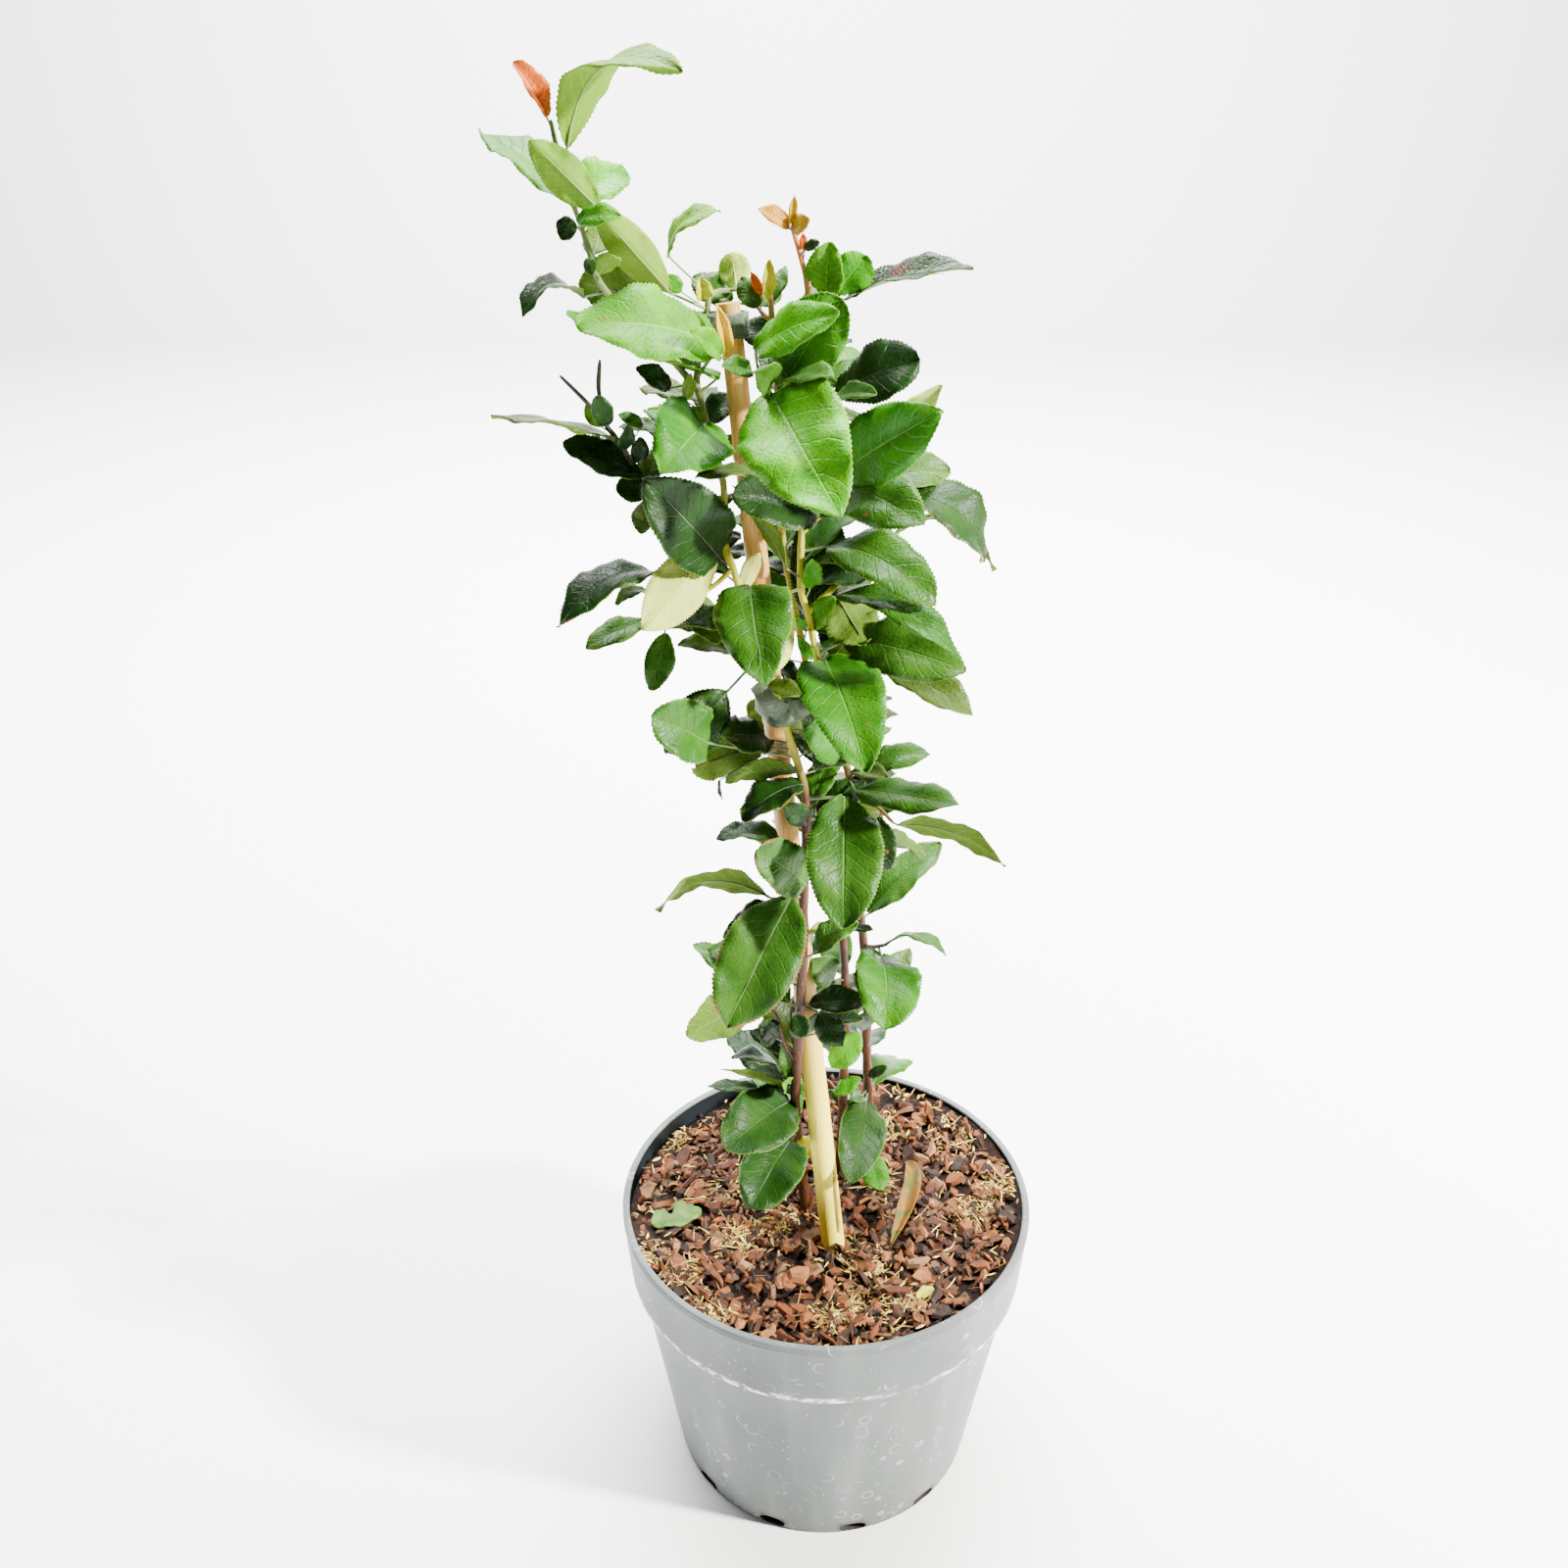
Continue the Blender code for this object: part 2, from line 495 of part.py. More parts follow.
def make_pot():
    """A thin tapered pot with a deeper collar, a rolled lip and drain slots round its base edge."""
    collar_foot = POT_HEIGHT - COLLAR_HEIGHT
    lip_foot = POT_HEIGHT - LIP_DEPTH
    profile = [
        (0, 0), (BASE_RADIUS - 2, 0), (wall_radius(2), 2), (wall_radius(collar_foot - 1), collar_foot - 1),
        (wall_radius(collar_foot) - 0.5, collar_foot), (wall_radius(collar_foot), collar_foot + 0.6),
        (wall_radius(lip_foot), lip_foot), (RIM_RADIUS, lip_foot + 0.6), (RIM_RADIUS, POT_HEIGHT - 0.8),
        (RIM_RADIUS - 0.8, POT_HEIGHT), (RIM_RADIUS - LIP_WIDTH + 0.8, POT_HEIGHT),
        (RIM_RADIUS - LIP_WIDTH, POT_HEIGHT - 0.8), (wall_radius(lip_foot) - POT_WALL, lip_foot - 1),
        (wall_radius(collar_foot) - POT_WALL, collar_foot + 1.6),
        (wall_radius(collar_foot - 1) - POT_WALL, collar_foot - 1),
        (wall_radius(7) - POT_WALL, 7), (wall_radius(7) - POT_WALL - 3.5, POT_WALL), (0, POT_WALL),
    ]
    pot = solid("pot", turned(profile, POT_SIDES), finish("pot plastic", (0.36, 0.39, 0.39), 0.5), smooth=True)
    slots = bmesh.new()
    for hole in range(DRAIN_HOLES):
        angle = math.radians(FIRST_DRAIN_ANGLE - 90 + hole * 360 / DRAIN_HOLES)
        reach = BASE_RADIUS - 1
        centre = (reach * math.cos(angle), reach * math.sin(angle), DRAIN_HEIGHT / 2 + 0.4)
        box(slots, centre, (7, DRAIN_WIDTH, DRAIN_HEIGHT), Matrix.Rotation(angle, 3, "Z"))
    cutter = solid("drain_cutter", slots)
    cutter.hide_render = True
    cutter.display_type = "WIRE"
    cut = pot.modifiers.new("drain slots", "BOOLEAN")
    cut.object = cutter
    return pot


def inner_radius(height):
    """The radius of the room inside the pot at a height, less the gap that parts two pieces."""
    collar_foot = POT_HEIGHT - COLLAR_HEIGHT
    if height < collar_foot + 1.6:
        height = min(height, collar_foot - 1)
    return wall_radius(height) - POT_WALL - GAP


# The growing mix and the bark over it

def hole_cutters(routes):
    """Tubes a gap wider than the cane and the stems, which leave plain holes for them."""
    cutters = []
    for name, route, radius in routes:
        cutter = solid(name + "_cutter", tube(route, radius + HOLE_SLACK, radius + HOLE_SLACK, 8))
        cutter.hide_render = True
        cutter.display_type = "WIRE"
        cutters.append(cutter)
    return cutters


def cut_holes(body, cutters):
    for cutter in cutters:
        cut = body.modifiers.new(cutter.name, "BOOLEAN")
        cut.operation = "DIFFERENCE"
        cut.object = cutter


def make_growing_mix(cutters):
    """The plug of peat and bark fines that fills the pot, down to its floor."""
    collar_foot = POT_HEIGHT - COLLAR_HEIGHT
    floor = POT_WALL + GAP
    profile = [
        (0, floor), (BASE_RADIUS - 7, floor), (inner_radius(9), 9), (inner_radius(collar_foot - 3), collar_foot - 3),
        (inner_radius(collar_foot - 1), collar_foot + 1), (inner_radius(collar_foot + 5), collar_foot + 5),
        (inner_radius(MIX_TOP), MIX_TOP), (0, MIX_TOP),
    ]
    mix = solid("growing_mix", turned(profile, POT_SIDES), finish("growing mix", (0.02, 0.013, 0.01), 0.95))
    cut_holes(mix, cutters)
    return mix


def bark_height(x, y):
    """The bark's rough top: low mounds, a little higher towards the wall."""
    place = Vector((x, y, 0)) / 17.0
    mounds = noise.noise(place) + 0.5 * noise.noise(place * 2.3)
    return BARK_TOP + BARK_RELIEF * mounds + 1.5 * (x * x + y * y) / RIM_RADIUS ** 2


def make_bark():
    """A disc of bark mulch with a rough top, and the larger chips that stand out of it."""
    shape = bmesh.new()
    floor = MIX_TOP + GAP
    edge = inner_radius(floor) - 0.2
    rings = []
    for share in (0.0, 0.25, 0.5, 0.75, 1.0):
        count = 1 if share == 0 else POT_SIDES
        ring = []
        for k in range(count):
            angle = 2 * math.pi * k / POT_SIDES
            x = edge * share * math.cos(angle)
            y = edge * share * math.sin(angle)
            ring.append(shape.verts.new((x, y, bark_height(x, y))))
        rings.append(ring)
    foot = []
    for vert in rings[-1]:
        foot.append(shape.verts.new((vert.co.x, vert.co.y, floor)))
    rings.append(foot)
    for low, high in zip(rings, rings[1:]):
        for k in range(POT_SIDES):
            corners = [low[k % len(low)], low[(k + 1) % len(low)], high[(k + 1) % len(high)], high[k % len(high)]]
            shape.faces.new(list(dict.fromkeys(corners)))
    shape.faces.new(foot)
    bmesh.ops.triangulate(shape, faces=shape.faces)
    bark = solid("bark_mulch", shape, finish("bark mulch", (0.2, 0.09, 0.05), 0.9))
    return bark


def bark_chips():
    """The larger chips: flat split blocks at all angles, sunk in the bark by more than half."""
    draw = random.Random(7)
    chips = []
    spots = []
    while len(chips) < BARK_CHIPS:
        reach = (inner_radius(MIX_TOP) - 11) * math.sqrt(draw.random())
        angle = draw.uniform(0, 2 * math.pi)
        spot = (reach * math.cos(angle), reach * math.sin(angle))
        if any(math.dist(spot, other) < CHIP_SPACING for other in spots):
            continue
        spots.append(spot)
        size = (draw.uniform(9, 17), draw.uniform(5, 9), 6)
        tilt = Matrix.Rotation(math.radians(draw.uniform(-24, 24)), 3, "X")
        tilt = Matrix.Rotation(math.radians(draw.uniform(-24, 24)), 3, "Y") @ tilt
        turn = Matrix.Rotation(draw.uniform(0, 2 * math.pi), 3, "Z") @ tilt
        shape = bmesh.new()
        centre = (*spot, bark_height(*spot) - draw.uniform(1.0, 2.2))
        corners = box(shape, centre, size, turn)
        for corner in corners:
            corner.co += Vector((draw.uniform(-1, 1), draw.uniform(-1, 1), draw.uniform(-0.5, 0.5)))
        bmesh.ops.triangulate(shape, faces=shape.faces)
        chips.append(solid("chip_%02d" % len(chips), shape))
    return chips


# The cane and the ties

def cane_route():
    """The cane's straight centre line, from its buried end to its top."""
    foot = seen(*CANE_PICKS[0])
    top = seen(*CANE_PICKS[1])
    slope = (top - foot) / (top.z - foot.z)
    start = foot + slope * (CANE_BOTTOM - foot.z)
    count = 40
    return [start + (top - start) * k / count for k in range(count + 1)]


def cane_radius(share):
    return CANE_FOOT_RADIUS + (CANE_TOP_RADIUS - CANE_FOOT_RADIUS) * share


def make_cane():
    """A bamboo cane: a tapering rod with a raised ring at each node."""
    shape = tube(cane_route()[::5], CANE_FOOT_RADIUS, CANE_TOP_RADIUS, 10)
    cane = solid("cane", shape, finish("cane", (0.62, 0.42, 0.2), 0.5), smooth=True)
    return cane


def crossing(route, height):
    """Where a rising centre line passes a height."""
    for low, high in zip(route, route[1:]):
        if low.z <= height < high.z:
            return low.lerp(high, (height - low.z) / (high.z - low.z))
    return None


def tie_outline(height, members):
    """The taut loop round the members at a height, as corners in order, a slack outside them."""
    points = []
    for route, foot_radius, top_radius in members:
        for level in (height - TIE_HEIGHT / 2, height, height + TIE_HEIGHT / 2):
            centre = crossing(route, level)
            share = (level - route[0].z) / (route[-1].z - route[0].z)
            radius = foot_radius + (top_radius - foot_radius) * share
            for k in range(16):
                angle = 2 * math.pi * k / 16
                reach = radius + TIE_SLACK
                points.append((round(centre.x + reach * math.cos(angle), 4),
                               round(centre.y + reach * math.sin(angle), 4)))
    points.sort()
    hull = []
    for order in (points, points[::-1]):
        half = []
        for point in order:
            while len(half) > 1 and turn_of(half[-2], half[-1], point) <= 0:
                half.pop()
            half.append(point)
        hull += half[:-1]
    return hull


def turn_of(a, b, c):
    """Positive where the way from a over b to c turns left."""
    return (b[0] - a[0]) * (c[1] - a[1]) - (b[1] - a[1]) * (c[0] - a[0])


def thinned(outline, shortest):
    """The outline without corners that crowd closer than a length."""
    kept = [outline[0]]
    for corner in outline[1:]:
        if math.dist(corner, kept[-1]) >= shortest:
            kept.append(corner)
    if math.dist(kept[-1], kept[0]) < shortest:
        kept.pop()
    return kept


def make_tie(name, height, members):
    """A band of soft tape round the cane and the stems beside it."""
    inner = thinned(tie_outline(height, members), 2.2)
    middle = Vector((sum(x for x, _ in inner), sum(y for _, y in inner))) / len(inner)
    shape = bmesh.new()
    rings = []
    for extra, level in ((0, -1), (TIE_THICKNESS, -1), (TIE_THICKNESS, 1), (0, 1)):
        ring = []
        for x, y in inner:
            out = (Vector((x, y)) - middle).normalized() * extra
            ring.append(shape.verts.new((x + out.x, y + out.y, height + level * TIE_HEIGHT / 2)))
        rings.append(ring)
    for low, high in zip(rings, rings[1:] + rings[:1]):
        for k in range(len(inner)):
            after = (k + 1) % len(inner)
            shape.faces.new((low[k], low[after], high[after], high[k]))
    return solid(name, shape, finish(name, (0.3, 0.36, 0.3), 0.6), smooth=True)


# Stems, twigs and leaves

def stem_route(stem):
    """A stem's centre line, from its end in the growing mix to its top."""
    picks = [seen(*pick) for pick in stem.picks]
    collar = picks[0]
    buried = collar + Vector((0.1 * (collar.x - picks[1].x), 2, -ROOT_DEPTH))
    halfway = collar.lerp(buried, 0.4)
    return [buried, halfway] + picks


def nearest_on(routes, point):
    """The nearest of the closely spaced points of some centre lines."""
    return min((spot for route in routes for spot in route), key=lambda spot: (spot - point).length_squared)


def blade_frame(blade, share):
    """A point on a blade's midrib, with the directions across it and up from its upper side."""
    along = blade.tip - blade.foot
    length = along.length
    along = along / length
    face = (blade.face - along * blade.face.dot(along)).normalized()
    beside = along.cross(face)
    middle = face * math.cos(blade.twist / 2) + beside * math.sin(blade.twist / 2)
    turned_face = face * math.cos(blade.twist * share) + beside * math.sin(blade.twist * share)
    place = blade.foot + along * length * share + middle * blade.arch * length * 4 * share * (1 - share)
    heading = (along + middle * blade.arch * 4 * (1 - 2 * share)).normalized()
    across = heading.cross(turned_face).normalized()
    return place, across, across.cross(heading)


def half_width(blade, share):
    """Half a blade's width at a share of its length, which its form gives."""
    rise, fall = FORMS[blade.form]
    peak = rise / (rise + fall)
    return blade.width / 2 * (share / peak) ** rise * ((1 - share) / (1 - peak)) ** fall


def blade_point(blade, share, side):
    """A point of the blade's middle surface: side runs from -1 at one edge to 1 at the other."""
    place, across, up = blade_frame(blade, share)
    reach = max(half_width(blade, share), PETIOLE_WIDTH / 2)
    wave = RIPPLE * blade.width * abs(side) * math.sin(13 * share + 2 * side + blade.phase)
    lift = abs(side) * reach * math.sin(blade.fold) + wave
    return place + across * side * reach * math.cos(blade.fold) + up * lift, up


def bent(blade, bend):
    """The blade with its tip swung about its foot: away from the view, then sideways in it."""
    away, aside = (math.radians(angle) for angle in bend)
    sight = (EYE - blade.foot).normalized()
    along = blade.tip - blade.foot
    hinge = along.cross(sight).normalized()
    turn = Matrix.Rotation(aside, 3, sight) @ Matrix.Rotation(away, 3, hinge)
    return blade._replace(tip=blade.foot + turn @ along, face=turn @ blade.face)


def strip(shape, first, second, flip):
    """Triangles between two rows of points, whatever their counts."""
    i = 0
    j = 0
    while i < len(first) - 1 or j < len(second) - 1:
        step_first = j == len(second) - 1
        if i < len(first) - 1 and not step_first:
            step_first = (i + 1) / (len(first) - 1) <= (j + 1) / (len(second) - 1)
        if step_first:
            corners = (first[i], first[i + 1], second[j])
            i += 1
        else:
            corners = (first[i], second[j + 1], second[j])
            j += 1
        shape.faces.new(corners[::-1] if flip else corners)


def blade_shape(blade, spare=0.0):
    """A leaf as a thin closed plate, from the petiole's root in the stem to the tip."""
    shape = bmesh.new()
    length = (blade.tip - blade.foot).length
    stations = next(shares for least, shares in STATIONS if length >= least)
    rows = []
    place, across, up = blade_frame(blade, 0)
    stalk = blade.foot - blade.root
    if stalk.length > 0.5:
        root_across = (across - stalk * across.dot(stalk) / stalk.length_squared).normalized()
    else:
        root_across = across
    root_up = up if stalk.length <= 0.5 else root_across.cross(stalk).normalized()
    for spot, side, rise in ((blade.root, root_across, root_up), (blade.foot, across, up)):
        top = rise * (PETIOLE_THICKNESS * 0.4 + spare)
        reach = side * (PETIOLE_WIDTH / 2 + spare)
        rows.append(([spot - reach + top, spot + reach + top], [spot - rise * (PETIOLE_THICKNESS * 0.6 + spare)]))
    for share in stations:
        upper = []
        lower = []
        for side in (-1, 0, 1):
            point, rise = blade_point(blade, share, side)
            upper.append(point + rise * (LEAF_THICKNESS / 2 + spare))
            lower.append(point - rise * (LEAF_THICKNESS / 2 + spare))
        rows.append((upper, lower))
    end, rise = blade_point(blade, 1.0, 0)
    rows.append(([end + rise * (LEAF_THICKNESS / 2 + spare)], [end - rise * (LEAF_THICKNESS / 2 + spare)]))
    verts = [([shape.verts.new(p) for p in upper], [shape.verts.new(p) for p in lower]) for upper, lower in rows]
    for (upper, lower), (next_upper, next_lower) in zip(verts, verts[1:]):
        strip(shape, upper, next_upper, False)
        strip(shape, lower, next_lower, True)
        strip(shape, [lower[0], upper[0]], [next_lower[0], next_upper[0]], False)
        strip(shape, [upper[-1], lower[-1]], [next_upper[-1], next_lower[-1]], False)
    upper, lower = verts[0]
    shape.faces.new((upper[0], upper[1], lower[0]))
    bmesh.ops.recalc_face_normals(shape, faces=shape.faces)
    return shape


def blade_of(row, number, routes):
    """The blade that a leaf's row describes, rooted in the nearest stem or twig."""
    foot = seen(*row.foot)
    tip = seen(*row.tip)
    along = (tip - foot).normalized()
    sight = (EYE - foot).normalized()
    facing = (sight - along * sight.dot(along)).normalized()
    turn = math.radians(row.turn)
    face = facing * math.cos(turn) + along.cross(facing) * math.sin(turn)
    root = nearest_on(routes, seen(*row.root) if row.root else foot - along * 2 - Vector((0, 0, 3)))
    if (foot - root).length < 1.5:
        foot = root + along * 1.5
    return Blade(root, foot, tip, face, row.width, row.arch, math.radians(row.twist), math.radians(row.fold),
                 row.form, number * 1.7)


def hidden_blades(route, bearing_back, draw):
    """Leaves on the side of a stem away from the view, by turns to the left and the right."""
    blades = []
    top = route[-1].z - HIDDEN_BELOW_TOP
    level = HIDDEN_LOWEST + draw.uniform(0, HIDDEN_SPACING)
    while level < top:
        bearing = math.radians(bearing_back + draw.uniform(*HIDDEN_SWING) * (-1) ** len(blades))
        length = draw.uniform(*HIDDEN_LENGTH)
        lift = math.radians(draw.uniform(*HIDDEN_LIFT))
        slimness = draw.uniform(*HIDDEN_SLIMNESS)
        arch = draw.uniform(0.06, 0.18)
        spot = crossing(route, level)
        level += HIDDEN_SPACING
        out = Vector((math.sin(bearing), math.cos(bearing), 0))
        along = out * math.cos(lift) + Vector((0, 0, math.sin(lift)))
        foot = spot + out * 5 + Vector((0, 0, 2))
        face = Vector((0, 0, 1)) - along * along.z
        blades.append(Blade(spot, foot, foot + along * length, face, length * slimness, arch, 0.0,
                            math.radians(10), "oval", level))
    return blades


def crosses(tree, others):
    return any(tree.overlap(other) for other in others)


def place_leaves(candidates, lines, fixed):
    """Bend each leaf clear of all that is placed before it, and give each stem its own leaves."""
    placed = {name: [] for name in lines}
    trees = {name: [] for name in lines}
    for name, blade in candidates:
        others = [tree for key, tree in fixed.items() if key != name]
        for key in lines:
            if key != name:
                others += trees[key]
        for bend in BENDS:
            trial = bent(blade, bend)
            if crosses(surface(blade_shape(trial, LEAF_CLEARANCE)), others):
                continue
            bare = trial._replace(root=trial.foot.lerp(trial.tip, 0.1), foot=trial.foot.lerp(trial.tip, 0.14))
            if crosses(surface(blade_shape(bare)), trees[name]):
                continue
            placed[name].append(trial)
            trees[name].append(surface(blade_shape(trial)))
            break
    return placed


def owner_of(blade, lines):
    """The stem whose centre lines hold a blade's root."""
    return min(lines, key=lambda name: (nearest_on(lines[name], blade.root) - blade.root).length_squared)


def plant():
    """The centre lines of the stems and twigs, by stem, and the tubes along them."""
    lines = {}
    tubes = {}
    for stem in STEMS:
        route = curve_through(stem_route(stem), STEM_SPACING)
        lines[stem.name] = [points_along(route)]
        tubes[stem.name] = [tube(route, stem.foot_radius, stem.top_radius, 6)]
    for twig in TWIGS:
        picks = [seen(*pick) for pick in twig.picks]
        picks[0] = nearest_on(lines[twig.stem], picks[0])
        route = curve_through(picks, STEM_SPACING)
        lines[twig.stem].append(points_along(route))
        tubes[twig.stem].append(tube(route, twig.foot_radius, twig.top_radius, 5))
    return lines, tubes


def make_leafy_stems(lines, tubes, fixed):
    """Each stem with its twigs and leaves, fused into one body."""
    for name, shapes in tubes.items():
        joined = bmesh.new()
        for shape in shapes:
            mesh = bpy.data.meshes.new("measure")
            shape.to_mesh(mesh)
            joined.from_mesh(mesh)
            bpy.data.meshes.remove(mesh)
        fixed[name] = surface(joined)
        joined.free()
    every_line = [route for routes in lines.values() for route in routes]
    candidates = []
    for number, row in enumerate(LEAVES):
        blade = blade_of(row, number, every_line)
        candidates.append((owner_of(blade, lines), blade))
    draw = random.Random(11)
    for stem in STEMS:
        for blade in hidden_blades(lines[stem.name][0], HIDDEN_BEARING[stem.name], draw):
            candidates.append((stem.name, blade))
    placed = place_leaves(candidates, lines, fixed)
    for stem in STEMS:
        material = finish(stem.name, (0.07, 0.2, 0.03), 0.45)
        shapes = tubes[stem.name]
        body = solid(stem.name, shapes[0], material)
        repeats = [solid("twig_%s_%d" % (stem.name, k), shape) for k, shape in enumerate(shapes[1:])]
        for k, blade in enumerate(placed[stem.name]):
            repeats.append(solid("leaf_%s_%03d" % (stem.name, k), blade_shape(blade)))
        join_repeats(body, repeats)
    return placed


# Shed leaves

def seen_on_bark(column, row):
    """The place on the bark that shows at a column and row of the view."""
    near = seen(column, row, -100)
    far = seen(column, row, 100)
    share = (BARK_TOP + 3 - near.z) / (far.z - near.z)
    return near.lerp(far, share)


def make_shed_leaf(shed, ground):
    """A fallen leaf that lies on the bark, a gap above its highest points."""
    foot = seen_on_bark(*shed.foot)
    tip = seen_on_bark(*shed.tip)
    root = foot + (foot - tip).normalized() * 3
    blade = Blade(root, foot, tip, Vector((0, 0, 1)), shed.width, shed.curl, 0.0, math.radians(10), "oval", 0.5)
    shape = blade_shape(blade)
    drops = []
    for vert in shape.verts:
        hit = ground.ray_cast(Vector((vert.co.x, vert.co.y, 200)), Vector((0, 0, -1)))[0]
        if hit:
            drops.append(vert.co.z - hit.z)
    for face in shape.faces:
        middle = face.calc_center_median()
        hit = ground.ray_cast(Vector((middle.x, middle.y, 200)), Vector((0, 0, -1)))[0]
        if hit:
            drops.append(middle.z - hit.z)
    bmesh.ops.translate(shape, verts=shape.verts, vec=(0, 0, 0.9 - min(drops)))
    return solid(shed.name, shape, finish(shed.name, shed.colour, 0.6))


def evaluated_tree(body):
    """A search tree of an object as its modifiers leave it, in mm."""
    shape = bmesh.new()
    shape.from_object(body, bpy.context.evaluated_depsgraph_get())
    bmesh.ops.scale(shape, vec=(1 / MM, 1 / MM, 1 / MM), verts=shape.verts)
    tree = surface(shape)
    shape.free()
    return tree


def main():
    for old in list(bpy.data.objects):
        bpy.data.objects.remove(old)

    lines, tubes = plant()
    cane_line = cane_route()
    stem_holes = [(stem.name, curve_through(stem_route(stem), STEM_SPACING)[:6], stem.foot_radius) for stem in STEMS]
    cane_hole = ("cane", cane_line[:11:5], CANE_FOOT_RADIUS)
    cutters = hole_cutters(stem_holes + [cane_hole])

    pot = make_pot()
    make_growing_mix(cutters)
    bark = make_bark()
    join_repeats(bark, bark_chips())
    cut_holes(bark, cutters)
    cane = make_cane()

    cane_member = (cane_line, CANE_FOOT_RADIUS, CANE_TOP_RADIUS)
    left, mid, right = ((lines[stem.name][0], stem.foot_radius, stem.top_radius) for stem in STEMS)
    ties = [
        make_tie("tie_low", crossing_height(816, 1045, -30), [cane_member, left, mid, right]),
        make_tie("tie_middle", crossing_height(787, 716, -17), [cane_member, left, mid, right]),
        make_tie("tie_top", crossing_height(745, 331, -12), [cane_member, left]),
    ]

    fixed = {piece.name: evaluated_tree(piece) for piece in [pot, bark, cane] + ties}
    make_leafy_stems(lines, tubes, fixed)
    for shed in SHED_LEAVES:
        make_shed_leaf(shed, fixed["bark_mulch"])


def crossing_height(column, row, depth):
    return seen(column, row, depth).z


main()
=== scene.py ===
import math
import random
import bmesh
import bpy
import numpy as np
from mathutils import Euler, Matrix, Vector, kdtree, noise
from mathutils.bvhtree import BVHTree


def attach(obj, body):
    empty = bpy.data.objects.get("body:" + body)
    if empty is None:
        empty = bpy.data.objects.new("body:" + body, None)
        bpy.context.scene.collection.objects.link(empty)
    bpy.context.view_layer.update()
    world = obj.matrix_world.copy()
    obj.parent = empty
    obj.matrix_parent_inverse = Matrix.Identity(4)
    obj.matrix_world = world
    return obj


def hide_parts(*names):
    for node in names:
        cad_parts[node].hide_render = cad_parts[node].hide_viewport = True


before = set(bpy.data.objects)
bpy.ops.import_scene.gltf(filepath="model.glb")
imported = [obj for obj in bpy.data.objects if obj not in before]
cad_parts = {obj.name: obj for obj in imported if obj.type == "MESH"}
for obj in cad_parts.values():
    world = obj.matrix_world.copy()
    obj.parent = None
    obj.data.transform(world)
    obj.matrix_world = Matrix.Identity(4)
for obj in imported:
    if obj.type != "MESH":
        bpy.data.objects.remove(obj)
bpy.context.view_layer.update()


# The view and the studio
# The plant stands on a sweep of white paper, seen from about half a metre in front of it and above.
# A small strong lamp at the upper right gives the leaves their sheen, and a weak one fills the shade.

EYE = Vector((-0.0195, -0.5028, 0.5908))
TILT = math.radians(25.28)
PICTURE = 1600
FOCAL = 1400
SENSOR = 36
UP = Vector((0, 0, 1))


def deselect_all():
    bpy.ops.object.select_all(action="DESELECT")


def new_piece(name, data):
    """An object that holds a mesh, a lamp or a camera, linked to the scene."""
    piece = bpy.data.objects.new(name, data)
    bpy.context.scene.collection.objects.link(piece)
    return piece


camera_data = bpy.data.cameras.new("camera")
camera_data.sensor_width = SENSOR
camera_data.lens = SENSOR * FOCAL / PICTURE
camera_data.clip_start = 0.02
camera = new_piece("camera", camera_data)
camera.location = EYE
camera.rotation_euler = (math.radians(90) - TILT, 0, 0)
bpy.context.scene.camera = camera


def seen(column, row, depth):
    """The place that shows at a column and row of the picture, depth mm behind the pot's axis."""
    ahead = Vector((0, math.cos(TILT), -math.sin(TILT)))
    above = Vector((0, math.sin(TILT), math.cos(TILT)))
    ray = FOCAL * ahead - (row - PICTURE / 2) * above
    ray.x += column - PICTURE / 2
    return EYE + ray * ((depth / 1000 - EYE.y) / ray.y)


def lamp(name, place, target, size, power, colour=(1, 1, 1)):
    """A square area lamp that faces a target."""
    data = bpy.data.lights.new(name, "AREA")
    data.size = size
    data.energy = power
    data.color = colour
    light = new_piece(name, data)
    light.location = place
    light.rotation_euler = (Vector(target) - Vector(place)).to_track_quat("-Z", "Y").to_euler()


lamp("key lamp", (1.42, -0.56, 1.12), (0, 0, 0.32), 0.13, 184, (1, 0.96, 0.88))
lamp("fill lamp", (-1.3, -1.2, 0.9), (0, 0, 0.3), 1.4, 1, (0.93, 0.96, 1))
lamp("backdrop lamp", (0, 0.9, 2.6), (0, 2.6, 0.5), 2.0, 880)

# the studio's walls give next to no light, and look this much paler to the camera
SKY_LIGHT = 0.1
SKY_PALER = 1.2
sky = bpy.data.worlds.new("pale studio")
sky.use_nodes = True
backdrop = sky.node_tree.nodes["Background"]
backdrop.inputs["Color"].default_value = (0.95, 0.97, 1, 1)
sky_light = sky.node_tree.nodes.new("ShaderNodeMath")
sky_light.operation = "MULTIPLY_ADD"
sky_light.inputs[1].default_value = SKY_PALER
sky_light.inputs[2].default_value = SKY_LIGHT
sight_only = sky.node_tree.nodes.new("ShaderNodeLightPath")
sky.node_tree.links.new(sight_only.outputs["Is Camera Ray"], sky_light.inputs[0])
sky.node_tree.links.new(sky_light.outputs[0], backdrop.inputs["Strength"])
bpy.context.scene.world = sky


